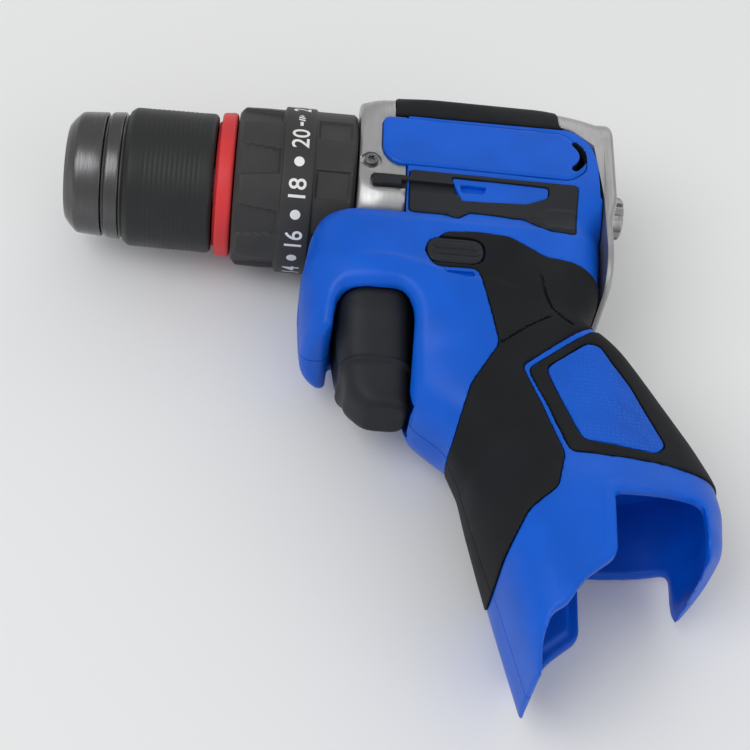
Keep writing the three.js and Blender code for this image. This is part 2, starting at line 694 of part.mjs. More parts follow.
const motorBack = motorFront + motorLength;
const canBore = motorRadius - canWall;
add('motor_can', turned([
  [motorFront, shaftRadius + gap], [motorFront, motorRadius - 1], [motorFront + 1, motorRadius],
  [motorBack, motorRadius], [motorBack, canBore], [motorFront + 2, canBore], [motorFront + 2, shaftRadius + gap],
  [motorFront, shaftRadius + gap],
], 24), steel);
const magnetRing = tube(motorFront + 5, motorBack - 8, canBore - gap - magnetThickness, canBore - gap, 24);
const magnetBand = block(-100, 100, -10, 10, 0, 60);
add('magnet_left', magnetRing.intersect(magnetBand), magnet);
add('magnet_right', magnetRing.intersect(magnetBand.rotate([180, 0, 0])), magnet);
add('motor_end_plate', tube(motorBack - 3, motorBack - gap, shaftRadius + gap, canBore - gap, 24), black);

const fanX0 = motorBack + 1.2;
const shaftBack = fanX0 + fanThickness + 1;
const rotorPoles = 5;
const poleSlot = block(motorFront + 6, motorBack - 9, rotorRadius - 4, rotorRadius + 3, -0.9, 0.9);
const poleSlots = join(Array.from({ length: rotorPoles }, (_, i) => poleSlot.rotate([(360 * i) / rotorPoles, 0, 0])));
const pinion = gear(sunTeeth, firstPlanetX + 0.2, ringGearBack + 2);
const rotorStack = rod(motorFront + 7, motorBack - 10, rotorRadius, 20).subtract(poleSlots);
const commutator = rod(motorBack - 11, motorBack - 4.2, 4.6, 16);
const shaft = rod(ringGearBack + 1, shaftBack, shaftRadius, 12);
const poleCoil = rod(motorFront + 4.6, motorFront + 7.2, rotorRadius - 3.4, 12);
add('rotor', join([pinion, rotorStack, commutator, shaft, poleCoil]), copper);
const blade = block(fanX0 + 0.4, fanX0 + fanThickness, 5, fanRadius, -0.6, 0.6);
const blades = Array.from({ length: fanBlades }, (_, i) => blade.rotate([(360 * i) / fanBlades, 0, 0]));
add('fan', join([
  tube(fanX0, fanX0 + 1, shaftRadius + gap, fanRadius, 20),
  tube(fanX0, fanX0 + fanThickness, shaftRadius + gap, 5.4, 12),
  ...blades,
]), black);

// ---- electrics ----

const terminal = block(terminalX0, terminalX1, terminalY0, terminalY1, -terminalHalf, terminalHalf);
function contact(x, y0, y1, room) {
  const halfThickness = contactThickness / 2 + room;
  const halfBlade = contactHalfWidth + room;
  return block(x - halfThickness, x + halfThickness, y0, y1, -halfBlade, halfBlade);
}
add('terminal_block', terminal.subtract(join(contactPlaces.map((x) => contact(x, -140, 0, gap)))), black);
contactPlaces.forEach((x, i) => {
  add(`battery_contact_${i + 1}`, contact(x, terminalY0 - contactReach, terminalY1 + 1, 0), copper);
});
const leadRadius = 1.1;
const leadX = motorBack - 2.4;
[1, -1].forEach((side) => {
  const name = side > 0 ? 'plus' : 'minus';
  add(`motor_lead_${name}`, lead([
    [leadX, -motorRadius + 0.7, side * 7], [leadX, -24, side * 7], [leadX - 0.4, -36, side * 7], [54, -44, side * 6],
    [52, -48, side * 5], [52, switchY1 + gap, side * 5],
  ], leadRadius, 12), side > 0 ? red : insulation);
});

// ---- chuck ----

const noseBack = chuckTip + noseLength;
const chuckMouth = 7.2;
const chuckNeck = 12.4;
function jawBlank(radius, extra = 0) {
  const length = jawLength + extra;
  const geometry = new THREE.CylinderGeometry(radius, radius, length, 10).rotateZ(Math.PI / 2);
  return solid(geometry.translate(length / 2, 0, 0).rotateZ(jawTilt).translate(chuckTip - 0.5, jawReach, 0));
}
const jawWays = join(planetAngles.map((angle) => onOrbit(jawBlank(jawRadius + gap, jawTravel + 3), angle)));
const coreProfile = [
  [chuckTip + 0.4, 0], [chuckTip + 0.4, chuckMouth + 3], [chuckTip + 1.6, chuckNeck], [noseBack - 2, chuckNeck],
  [noseBack - 2, chuckCoreRadius], [chuckBack, chuckCoreRadius], [chuckBack, 0],
];
const mouth = turned([[chuckTip - 1, 0], [chuckTip - 1, chuckMouth], [chuckTip + 8, 5.6], [-64, 5.6], [-64, 0]], 20);
const spindleSocket = rod(spindleFront - gap, chuckBack + 1, spindleNose + gap, 24);
add('chuck_body', turned(coreProfile, 20).subtract(join([jawWays, mouth, spindleSocket])), steel);
const wedgeAngle = Math.PI / planetCount;
const wedgeReach = 40;
const wedge = pushed([
  new THREE.Vector2(0, 0.35),
  new THREE.Vector2(wedgeReach * Math.sin(wedgeAngle), 0.35 + wedgeReach * Math.cos(wedgeAngle)),
  new THREE.Vector2(-wedgeReach * Math.sin(wedgeAngle), 0.35 + wedgeReach * Math.cos(wedgeAngle)),
], -120, 0);
const jaw = jawBlank(jawRadius).intersect(wedge).subtract(rod(chuckTip - 20, chuckTip + 0.2, 40));
planetAngles.forEach((angle, i) => add(`chuck_jaw_${i + 1}`, onOrbit(jaw, angle), darkSteel));

const coreRoom = chuckCoreRadius + gap;
add('chuck_nose', turned([
  [chuckTip, chuckNeck + gap], [chuckTip, noseRadius - 4.6], [chuckTip + 1.2, noseRadius - 3],
  [chuckTip + 3, noseRadius - 0.8], [chuckTip + 4, noseRadius - 0.4], [noseBack - 1, noseRadius],
  [noseBack - 1, noseRadius - 1], [noseBack, noseRadius - 1], [noseBack, coreRoom],
  [noseBack - 2 - gap, coreRoom], [noseBack - 2 - gap, chuckNeck + gap], [chuckTip, chuckNeck + gap],
], 24), darkSteel);
const sleeveFront = noseBack + gap;
add('chuck_sleeve', turned([
  [sleeveFront, coreRoom], [sleeveFront, noseRadius + 0.2], [sleeveFront + 4.6, noseRadius + 0.6],
  [sleeveFront + 7, sleeveRadius], [sleeveBack - 1, sleeveRadius + 0.2], [sleeveBack, sleeveRadius - 0.8],
  [sleeveBack, coreRoom], [sleeveFront, coreRoom],
], 24), black);
const ringFront = chuckBack + gap;
const ringBack = ringFront + ringLength + 0.8;
add('chuck_ring', turned([
  [ringFront, spindleNose + gap], [ringFront, sleeveRadius - 2], [ringFront + 1, sleeveRadius - 2],
  [ringFront + 1.4, ringRadius], [ringBack - 0.8, ringRadius + 0.3], [ringBack, ringRadius - 0.8],
  [ringBack, spindleNose + gap], [ringFront, spindleNose + gap],
], 24), red);

// ---- stand it on its right flank, centred ----

const topMost = selectorTop + ridgeRise;
drill.position.set(-(chuckTip + heelBack) / 2, -(topMost + toeY) / 2, halfWidth);

export default drill;
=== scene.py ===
import json
import math

import bmesh
import bpy
import numpy as np
from mathutils import Matrix, Vector


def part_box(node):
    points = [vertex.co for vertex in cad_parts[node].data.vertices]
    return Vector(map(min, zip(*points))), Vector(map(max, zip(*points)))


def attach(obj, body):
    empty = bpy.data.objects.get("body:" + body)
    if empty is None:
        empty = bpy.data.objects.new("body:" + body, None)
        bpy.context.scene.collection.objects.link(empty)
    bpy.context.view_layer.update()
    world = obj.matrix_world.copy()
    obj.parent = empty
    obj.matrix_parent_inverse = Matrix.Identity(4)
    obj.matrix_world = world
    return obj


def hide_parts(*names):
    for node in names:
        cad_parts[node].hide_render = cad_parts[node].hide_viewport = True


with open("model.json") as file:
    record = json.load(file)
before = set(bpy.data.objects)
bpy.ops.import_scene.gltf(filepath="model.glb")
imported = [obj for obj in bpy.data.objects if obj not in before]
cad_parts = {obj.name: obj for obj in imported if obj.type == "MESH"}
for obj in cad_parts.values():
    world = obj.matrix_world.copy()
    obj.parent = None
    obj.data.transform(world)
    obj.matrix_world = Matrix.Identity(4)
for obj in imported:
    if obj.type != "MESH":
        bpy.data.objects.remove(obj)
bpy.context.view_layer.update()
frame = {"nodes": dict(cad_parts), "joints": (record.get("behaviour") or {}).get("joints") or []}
print("frame loaded")

# Shapes are written in millimetres in the tool's own frame: x back from the front of the gear case along
# the chuck's axis, y up the tool, z out of its left flank. The frame says where that lies.
spinJoint = next(j for j in frame["joints"] if j["name"] == "spindle_spin")
chuckTip = -91
toolOrigin = np.array([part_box("chuck_nose")[0].x * 1000 - chuckTip, spinJoint["pos_m"][1] * 1000,
                       spinJoint["pos_m"][2] * 1000])
gap = 0.3  # left between pieces that seat on each other

camera = {"place": (-0.0347, -0.2859, 0.4429), "aim": (0, 0, 0.028), "roll": 0.1796, "lens": 80.8}
studio = {"world": 0.56, "floor": (0.84, 0.845, 0.85), "key": 9.5, "fill": 3, "rim": 2}


def setStudio():
    scene = bpy.context.scene
    data = bpy.data.cameras.new("studioCamera")
    data.lens = camera["lens"]
    eye = bpy.data.objects.new("studioCamera", data)
    eye.location = camera["place"]
    gaze = Vector(camera["aim"]) - Vector(camera["place"])
    turn = gaze.to_track_quat("-Z", "Y").to_matrix() @ Matrix.Rotation(camera["roll"], 3, "Z")
    eye.rotation_euler = turn.to_euler()
    scene.collection.objects.link(eye)
    scene.camera = eye
    scene.view_settings.view_transform = "Standard"
    world = bpy.data.worlds.new("studio")
    world.use_nodes = True
    scene.world = world
    light = world.node_tree.nodes["Background"]
    light.inputs["Color"].default_value = (1, 1, 1, 1)
    light.inputs["Strength"].default_value = studio["world"]
    lamps = [  # name, place, size, watts
        ("key", (-0.75, -0.45, 1.3), 1.0, studio["key"]),
        ("fill", (0.9, -0.9, 0.8), 1.2, studio["fill"]),
        ("rim", (0.5, 1.2, 0.7), 0.9, studio["rim"]),
    ]
    for name, place, size, watts in lamps:
        lamp = bpy.data.lights.new(name, "AREA")
        lamp.size = size
        lamp.energy = watts
        thing = bpy.data.objects.new(name, lamp)
        thing.location = place
        thing.rotation_euler = (-Vector(place)).to_track_quat("-Z", "Y").to_euler()
        scene.collection.objects.link(thing)


setStudio()
print("camera and lamps set")


# Fields are negative inside a shape and give about the distance to its surface.
def roundMax(a, b, radius):  # what both shapes hold, with its edge rounded
    corner = np.hypot(np.maximum(a + radius, 0), np.maximum(b + radius, 0))
    return np.minimum(np.maximum(a, b), -radius) + corner


def roundMin(a, b, radius):  # both shapes together, with a fillet between them
    return -roundMax(-a, -b, radius)


def cutOut(a, b, radius):  # the first shape without the second
    return roundMax(a, -b, radius)


def carved(shape, *cuts):  # each cut comes with the radius of its rim
    for cut, radius in cuts:
        shape = cutOut(shape, cut, radius)
    return shape


both, either = np.maximum, np.minimum  # what two shapes share, and the two together


def smoothStep(t):
    t = np.clip(t, 0, 1)
    return t * t * (3 - 2 * t)


def slab(value, low, high):
    return np.maximum(low - value, value - high)


def boxField(x, y, z, low, high, radius=0.0):
    reach = [np.abs(p - (a + b) / 2) - (b - a) / 2 + radius for p, a, b in zip((x, y, z), low, high)]
    outside = np.sqrt(sum(np.maximum(d, 0) ** 2 for d in reach))
    return outside + either(both(both(reach[0], reach[1]), reach[2]), 0) - radius


def rodField(x, y, z, x0, x1, radius, edge=0.0):  # round about the chuck's axis
    return roundMax(np.hypot(y, z) - radius, slab(x, x0, x1), edge)


def squircle(u, v, halfU, halfV, power):  # distance to a rounded square section
    a = np.abs(u) / halfU + 1e-6
    b = np.abs(v) / halfV + 1e-6
    size = (a ** power + b ** power) ** (1 / power)
    steep = np.hypot((a / size) ** (power - 1) / halfU, (b / size) ** (power - 1) / halfV)
    return (size - 1) / steep


def smoothProfile(stations, blur):  # sizes along a shape, as smooth curves through its stations
    rows = np.array(sorted(stations), float)
    step, margin = 0.5, 4
    at = np.arange(rows[0, 0] - margin, rows[-1, 0] + margin, step)
    kernel = np.hanning(int(blur / step) * 2 + 3)
    kernel /= kernel.sum()
    pad = len(kernel) // 2
    curves = []
    for column in rows.T[1:]:
        values = np.interp(at, rows[:, 0], column)
        curves.append(np.convolve(np.pad(values, pad, mode="edge"), kernel, mode="valid"))
    return lambda t: [np.interp(t, at, curve) for curve in curves]


def roundedOutline(corners, radius, steps=5):  # an outline's points with its corners rounded
    points = []
    count = len(corners)
    for i in range(count):
        here = np.array(corners[i], float)
        before = np.array(corners[i - 1], float) - here
        after = np.array(corners[(i + 1) % count], float) - here
        cut = min(radius, np.linalg.norm(before) / 2.1, np.linalg.norm(after) / 2.1)
        start = here + before / np.linalg.norm(before) * cut
        end = here + after / np.linalg.norm(after) * cut
        for t in np.linspace(0, 1, steps):
            points.append((1 - t) ** 2 * start + 2 * t * (1 - t) * here + t * t * end)
    return np.array(points)


# Side-view outlines become distance grids, which every field reads.
sideGrid = {"low": (-34.0, -184.0), "high": (124.0, 44.0), "step": 0.4}
sideX = np.arange(sideGrid["low"][0], sideGrid["high"][0], sideGrid["step"])[:, None]
sideY = np.arange(sideGrid["low"][1], sideGrid["high"][1], sideGrid["step"])[None, :]


def readGrid(grid, x, y):  # a side-view grid's value at x, y
    u = np.clip((x - sideGrid["low"][0]) / sideGrid["step"], 0, grid.shape[0] - 1.001)
    v = np.clip((y - sideGrid["low"][1]) / sideGrid["step"], 0, grid.shape[1] - 1.001)
    u, v = np.broadcast_arrays(u, v)
    i, j = u.astype(int), v.astype(int)
    fu, fv = u - i, v - j
    low = grid[i, j] * (1 - fu) + grid[i + 1, j] * fu
    high = grid[i, j + 1] * (1 - fu) + grid[i + 1, j + 1] * fu
    return low * (1 - fv) + high * fv


def outlineDistance(points, closed):  # inside a closed outline it is negative
    count = len(points)
    best = np.full((sideX.shape[0], sideY.shape[1]), 1e9)
    inside = np.zeros(best.shape, bool)
    for i in range(count if closed else count - 1):
        ax, ay = points[i]
        bx, by = points[(i + 1) % count]
        ex, ey = bx - ax, by - ay
        along = np.clip(((sideX - ax) * ex + (sideY - ay) * ey) / max(ex * ex + ey * ey, 1e-9), 0, 1)
        best = np.minimum(best, (sideX - ax - along * ex) ** 2 + (sideY - ay - along * ey) ** 2)
        if closed and abs(ey) > 1e-9:
            inside ^= ((ay > sideY) != (by > sideY)) & (sideX < ax + ex * (sideY - ay) / ey)
    best = np.sqrt(best)
    return np.where(inside, -best, best) if closed else best


def sideShape(corners, radius):  # a field from a side-view outline
    grid = outlineDistance(roundedOutline(corners, radius), True)
    return lambda x, y: readGrid(grid, x, y)


def sideLine(points, width):  # a field from a line drawn on the side view
    grid = outlineDistance(np.array(points, float), False) - width / 2
    return lambda x, y: readGrid(grid, x, y)


def shaded(mesh):
    mesh.shade_smooth()
    mesh.set_sharp_from_angle(angle=math.radians(35))


def linked(name, mesh):
    shaded(mesh)
    piece = bpy.data.objects.new(name, mesh)
    bpy.context.scene.collection.objects.link(piece)
    return piece


def toMesh(name, points, faces):  # points in the tool's frame
    mesh = bpy.data.meshes.new(name)
    mesh.from_pydata(((np.asarray(points) + toolOrigin) / 1000).tolist(), [], faces)
    mesh.validate()
    return linked(name, mesh)


def toolPoints(items, key):  # where vertices or faces are, in the tool's frame
    points = np.empty(len(items) * 3)
    items.foreach_get(key, points)
    return points.reshape(-1, 3) * 1000 - toolOrigin


def thinned(piece, ratio, spare=None):  # fewer triangles, where spare(points) says that they aren't missed
    modifier = piece.modifiers.new("thin", "DECIMATE")
    modifier.ratio = ratio
    if spare is not None:
        group = piece.vertex_groups.new(name="spare")
        points = toolPoints(piece.data.vertices, "co")
        group.add(np.flatnonzero(spare(*points.T)).tolist(), 1.0, "REPLACE")
        modifier.vertex_group = "spare"
    graph = bpy.context.evaluated_depsgraph_get()
    mesh = bpy.data.meshes.new_from_object(piece.evaluated_get(graph))
    piece.modifiers.clear()
    piece.vertex_groups.clear()
    piece.data = mesh
    shaded(mesh)
    return piece


net = {"rounds": 3, "nudge": 0.04, "pull": 0.05, "reach": 0.55}  # how crossings and vertices are found


def netMesh(name, field, low, high, step, ratio=None, spare=None):
    # The surface where a field is zero. Each cell that it crosses gets one vertex, at the point nearest
    # the planes of its crossings, so that edges stay crisp. A ratio thins it.
    axes = [np.arange(low[i] - step, high[i] + 2 * step, step) for i in range(3)]
    start = np.array([a[0] for a in axes])
    shape = tuple(len(a) for a in axes)
    grids = (axes[0][:, None, None], axes[1][None, :, None], axes[2][None, None, :])
    values = np.array(np.broadcast_to(field(*grids), shape))
    for axis in range(3):  # the grid's own faces are outside the shape
        for edge in (0, -1):
            face = [slice(None)] * 3
            face[axis] = edge
            values[tuple(face)] = both(values[tuple(face)], 0.01)
    sign = values < 0
    corners, ways, starts, ends, flips = [], [], [], [], []
    for axis in range(3):
        near, far = [slice(None)] * 3, [slice(None)] * 3
        near[axis], far[axis] = slice(0, -1), slice(1, None)
        cross = np.argwhere(sign[tuple(near)] != sign[tuple(far)])
        onward = cross.copy()
        onward[:, axis] += 1
        corners.append(cross)
        ways.append(np.full(len(cross), axis))
        starts.append(values[tuple(cross.T)])
        ends.append(values[tuple(onward.T)])
        flips.append(sign[tuple(cross.T)] ^ (axis == 1))
    corners, ways = np.concatenate(corners), np.concatenate(ways)
    a, b, flips = np.concatenate(starts), np.concatenate(ends), np.concatenate(flips)
    along = np.eye(3)[ways]
    low01, high01 = np.zeros(len(a)), np.ones(len(a))
    for _ in range(net["rounds"]):  # close in on each crossing
        share = low01 + (high01 - low01) * np.clip(a / (a - b), 0.02, 0.98)
        spots = start + (corners + along * share[:, None]) * step
        here = field(*spots.T)
        same = (here < 0) == (a < 0)
        low01, a = np.where(same, share, low01), np.where(same, here, a)
        high01, b = np.where(same, high01, share), np.where(same, b, here)
    nudges = np.eye(3) * net["nudge"]
    normals = np.stack([field(*(spots + nudge).T) - field(*(spots - nudge).T) for nudge in nudges], 1)
    normals /= np.linalg.norm(normals, axis=1)[:, None] + 1e-12
    others = np.array([[1, 2], [0, 2], [0, 1]])[ways]
    cells = []
    for p, q in ((1, 1), (0, 1), (0, 0), (1, 0)):
        cell = corners.copy()
        rows = np.arange(len(cell))
        cell[rows, others[:, 0]] -= p
        cell[rows, others[:, 1]] -= q
        cells.append(np.ravel_multi_index(cell.T, shape))
    used, quads = np.unique(np.concatenate(cells), return_inverse=True)
    quads = quads.reshape(4, -1)
    centre = (np.stack(np.unravel_index(used, shape), 1) + 0.5) * step + start
    count = np.bincount(quads.ravel(), minlength=len(used)).astype(float)

    def summed(weights):
        return np.bincount(quads.ravel(), weights=weights.ravel(), minlength=len(used))

    offset = spots[None] - centre[quads]
    reach = (offset * normals[None]).sum(2)
    mass = np.stack([summed(offset[..., k]) for k in range(3)], 1) / count[:, None]
    hold = net["pull"] * count
    square = np.zeros((len(used), 3, 3))
    right = np.zeros((len(used), 3))
    for i in range(3):
        right[:, i] = summed(reach * normals[None, :, i]) + hold * mass[:, i]
        for j in range(i, 3):
            square[:, i, j] = summed(np.broadcast_to(normals[None, :, i] * normals[None, :, j], reach.shape))
            square[:, j, i] = square[:, i, j]
        square[:, i, i] += hold
    moved = np.linalg.solve(square, right[:, :, None])[:, :, 0]
    points = centre + np.clip(moved, -net["reach"] * step, net["reach"] * step)
    quads = quads.T
    quads[flips] = quads[flips][:, ::-1]
    piece = toMesh(name, points, quads.tolist())
    return thinned(piece, ratio, spare) if ratio else piece


def mirrored(name, piece, keep=True):  # the same piece on the other flank
    mesh = piece.data.copy()
    if not keep:
        bpy.data.objects.remove(piece)
    middle = 2 * toolOrigin[2] / 1000
    mesh.transform(Matrix.Translation((0, 0, middle)) @ Matrix.Diagonal((1, 1, -1, 1)))
    mesh.flip_normals()
    mesh.name = name
    return linked(name, mesh)


def movedCopy(name, piece, matrix):  # the matrix acts in the tool's frame, in metres
    mesh = piece.data.copy()
    home = Matrix.Translation(toolOrigin / 1000)
    mesh.transform(home @ matrix @ home.inverted())
    mesh.name = name
    return linked(name, mesh)


def refined(points, spacing):  # a closed outline with no side longer than the spacing
    out = []
    for i, here in enumerate(points):
        onward = points[(i + 1) % len(points)]
        pieces = max(1, math.ceil(np.linalg.norm(onward - here) / spacing))
        out += [here + (onward - here) * k / pieces for k in range(pieces)]
    return np.array(out)


def turnedMesh(name, profile, sides, radius=0.4, spacing=50.0, relief=None, centre=(0, 0)):
    # Turned about the chuck's axis, or one beside it. The profile is closed: rows of x and radius.
    section = refined(roundedOutline(profile, radius, 4), spacing)
    turn = np.arange(sides) * 2 * math.pi / sides
    x = np.repeat(section[:, 0][:, None], sides, 1)
    r = np.repeat(section[:, 1][:, None], sides, 1)
    angle = np.repeat(turn[None], len(section), 0)
    if relief is not None:
        r = r - relief(x, r, angle)
    points = np.stack([x, centre[0] + r * np.cos(angle), centre[1] + r * np.sin(angle)], -1).reshape(-1, 3)
    rows = len(section)
    faces = []
    for i in range(rows):
        a, b = i * sides, ((i + 1) % rows) * sides
        faces += [[a + j, b + j, b + (j + 1) % sides, a + (j + 1) % sides] for j in range(sides)]
    area = sum(section[i - 1, 0] * section[i, 1] - section[i, 0] * section[i - 1, 1] for i in range(rows))
    if area > 0:
        faces = [face[::-1] for face in faces]
    return toMesh(name, points, faces)


def place(piece, body, slot, material, *nodes):  # rides on its body, and stands for those CAD nodes
    piece.data.materials.clear()
    piece.data.materials.append(material)
    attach(piece, body)
    if nodes:
        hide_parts(*nodes)
    return piece


# Materials. Lengths inside them are in metres, so a scale of 1000 repeats every millimetre.
def feed(tree, socket, value):  # a socket takes a number, a colour or what another socket puts out
    if isinstance(value, bpy.types.NodeSocket):
        tree.links.new(value, socket)
    elif socket.type == "RGBA":
        socket.default_value = (*value, 1)
    else:
        socket.default_value = value


def addNode(tree, kind, inputs):
    node = tree.nodes.new(kind)
    for label, value in inputs.items():
        feed(tree, node.inputs[label], value)
    return node


def noiseNode(tree, vector, scale, detail, roughness=0.5):
    inputs = {"Vector": vector, "Scale": scale, "Detail": detail, "Roughness": roughness}
    return addNode(tree, "ShaderNodeTexNoise", inputs).outputs["Fac"]


def mathNode(tree, operation, a, b, clamp=False):
    node = addNode(tree, "ShaderNodeMath", {0: a, 1: b})
    node.operation = operation
    node.use_clamp = clamp
    return node.outputs[0]


def rampNode(tree, value, low, high, outLow=0.0, outHigh=1.0):
    inputs = {"Value": value, "From Min": low, "From Max": high, "To Min": outLow, "To Max": outHigh}
    node = addNode(tree, "ShaderNodeMapRange", inputs)
    node.interpolation_type = "SMOOTHSTEP"
    return node.outputs["Result"]


def mixColour(tree, factor, a, b):
    node = tree.nodes.new("ShaderNodeMix")
    node.data_type = "RGBA"
    for label, value in (("Factor", factor), (6, a), (7, b)):
        feed(tree, node.inputs[label], value)
    return node.outputs[2]


def newGroup(name, inputs, outputs):
    group = bpy.data.node_groups.new(name, "ShaderNodeTree")
    group.interface.new_socket("Vector", in_out="INPUT", socket_type="NodeSocketVector")
    for label, value in inputs.items():
        socket = group.interface.new_socket(label, in_out="INPUT", socket_type="NodeSocketFloat")
        socket.default_value = value
    for label in outputs:
        group.interface.new_socket(label, in_out="OUTPUT", socket_type="NodeSocketFloat")
    return group, group.nodes.new("NodeGroupInput").outputs, group.nodes.new("NodeGroupOutput").inputs


def grainGroup():  # moulded or cast surface: a fine grain over slow waves
    group, ins, outs = newGroup("mouldedGrain", {"Grain Scale": 1500, "Wave Scale": 60}, ["Height", "Shade"])
    grain = noiseNode(group, ins["Vector"], ins["Grain Scale"], 3, 0.6)
    wave = noiseNode(group, ins["Vector"], ins["Wave Scale"], 2)
    feed(group, outs["Height"], mathNode(group, "ADD", grain, mathNode(group, "MULTIPLY", wave, 1.4)))
    feed(group, outs["Shade"], rampNode(group, wave, 0.3, 0.7))
    return group


def wearGroup():  # handling marks: short scuffs and polished patches
    group, ins, outs = newGroup("handlingWear", {"Scale": 120, "Cover": 0.5}, ["Scuff", "Polish"])
    squash = addNode(group, "ShaderNodeMapping", {
        "Vector": ins["Vector"], "Scale": (0.25, 1.6, 1.0), "Rotation": (0.2, 0.4, 0.9)})
    streak = noiseNode(group, squash.outputs["Vector"], ins["Scale"], 6, 0.7)
    patch = noiseNode(group, ins["Vector"], 35, 3)
    limit = mathNode(group, "SUBTRACT", 0.86, mathNode(group, "MULTIPLY", ins["Cover"], 0.24))
    sharp = mathNode(group, "MULTIPLY", mathNode(group, "SUBTRACT", streak, limit), 12, clamp=True)
    feed(group, outs["Scuff"], mathNode(group, "MULTIPLY", sharp, patch))
    feed(group, outs["Polish"], rampNode(group, patch, 0.35, 0.75))
    return group


def brushGroup():  # turned or drawn metal: fine lines round the chuck's axis
    group, ins, outs = newGroup("turnedLines", {"Scale": 2500}, ["Height", "Streak"])
    stretch = addNode(group, "ShaderNodeMapping", {"Vector": ins["Vector"], "Scale": (1, 0.04, 0.04)})
    lines = noiseNode(group, stretch.outputs["Vector"], ins["Scale"], 4, 0.6)
    cloud = noiseNode(group, ins["Vector"], 90, 4)
    feed(group, outs["Height"], lines)
    feed(group, outs["Streak"], rampNode(group, mathNode(group, "MULTIPLY", lines, cloud), 0.12, 0.42))
    return group


mouldedGrain, handlingWear, turnedLines = grainGroup(), wearGroup(), brushGroup()


def startMaterial(name):
    material = bpy.data.materials.new(name)
    material.use_nodes = True
    tree = material.node_tree
    where = tree.nodes.new("ShaderNodeTexCoord").outputs["Object"]
    return material, tree, tree.nodes["Principled BSDF"].inputs, where


def placeGroup(tree, group, where, **values):
    node = tree.nodes.new("ShaderNodeGroup")
    node.node_tree = group
    feed(tree, node.inputs["Vector"], where)
    for label, value in values.items():
        feed(tree, node.inputs[label.replace("_", " ")], value)
    return node.outputs


def bumped(tree, shader, height, distance):
    bump = addNode(tree, "ShaderNodeBump", {"Distance": distance, "Height": height})
    feed(tree, shader["Normal"], bump.outputs["Normal"])


def lighter(colour, factor):
    return tuple(min(1, c * factor + 0.004 * (factor - 1)) for c in colour)


def coloured(tree, shader, mask, colour, dark, light, scuff, tint):  # two tones under scuffs of a third
    base = mixColour(tree, mask, lighter(colour, dark), lighter(colour, light))
    feed(tree, shader["Base Color"], mixColour(tree, scuff, base, lighter(colour, tint)))


def roughened(tree, shader, mask, dull, bright, scuff=None, more=0.0):  # scuffs are duller still
    worn = rampNode(tree, mask, 0, 1, dull, bright)
    if scuff is not None:
        worn = mathNode(tree, "ADD", worn, mathNode(tree, "MULTIPLY", scuff, more))
    feed(tree, shader["Roughness"], worn)


softGloss, plasticGloss = 0.22, 0.24


def plastic(name, colour, rough, grain=1500.0, depth=0.00003, wear=0.4, scuffTint=1.6):
    material, tree, shader, where = startMaterial(name)
    surface = placeGroup(tree, mouldedGrain, where, Grain_Scale=grain)
    marks = placeGroup(tree, handlingWear, where, Cover=wear)
    coloured(tree, shader, surface["Shade"], colour, 0.93, 1.07, marks["Scuff"], scuffTint)
    roughened(tree, shader, marks["Polish"], rough + 0.05, rough - 0.06, marks["Scuff"], 0.15)
    shader["Specular IOR Level"].default_value = plasticGloss
    bumped(tree, shader, surface["Height"], depth)
    return material


def metal(name, colour, rough, metallic=1.0, lines=2500.0, depth=0.00001, dark=0.75):
    material, tree, shader, where = startMaterial(name)
    turned = placeGroup(tree, turnedLines, where, Scale=lines)
    marks = placeGroup(tree, handlingWear, where, Cover=0.5)
    coloured(tree, shader, turned["Streak"], colour, dark, 1.08, marks["Scuff"], 1.3)
    roughened(tree, shader, turned["Streak"], rough + 0.06, rough - 0.04, marks["Scuff"], 0.12)
    shader["Metallic"].default_value = metallic
    bumped(tree, shader, turned["Height"], depth)
    return material


def rubber(name, colour, rough):  # soft grip: a matt grain
    material, tree, shader, where = startMaterial(name)
    surface = placeGroup(tree, mouldedGrain, where, Grain_Scale=2200.0, Wave_Scale=45.0)
    marks = placeGroup(tree, handlingWear, where, Cover=0.45)
    coloured(tree, shader, surface["Shade"], colour, 0.85, 1.15, marks["Scuff"], 2.0)
    roughened(tree, shader, marks["Polish"], rough + 0.04, rough - 0.1)
    shader["Specular IOR Level"].default_value = softGloss
    bumped(tree, shader, surface["Height"], 0.00005)
    return material


def dimpledPlastic(name, colour, rough):  # the textured inlay: close rows of small domes
    material, tree, shader, where = startMaterial(name)
    surface = placeGroup(tree, mouldedGrain, where, Grain_Scale=1800.0)
    domes = addNode(tree, "ShaderNodeTexVoronoi", {"Vector": where, "Scale": 750, "Randomness": 0.35})
    rise = rampNode(tree, domes.outputs["Distance"], 0.1, 0.6, 1, 0)
    # painted light and shade: darker in the hollows between the domes, a little lighter on their tops
    base = mixColour(tree, rise, lighter(colour, 0.82), lighter(colour, 1.06))
    feed(tree, shader["Base Color"], mixColour(tree, surface["Shade"], base, colour))
    roughened(tree, shader, rise, rough + 0.12, rough)
    shader["Specular IOR Level"].default_value = plasticGloss
    height = mathNode(tree, "ADD", rise, mathNode(tree, "MULTIPLY", surface["Height"], 0.2))
    bumped(tree, shader, height, 0.00012)
    return material


def clearLens(name):
    material, tree, shader, where = startMaterial(name)
    surface = placeGroup(tree, mouldedGrain, where, Grain_Scale=900.0)
    shader["Base Color"].default_value = (0.92, 0.95, 0.98, 1)
    shader["Transmission Weight"].default_value = 0.85
    shader["IOR"].default_value = 1.49
    roughened(tree, shader, surface["Shade"], 0.05, 0.16)
    bumped(tree, shader, surface["Height"], 0.00001)
    return material


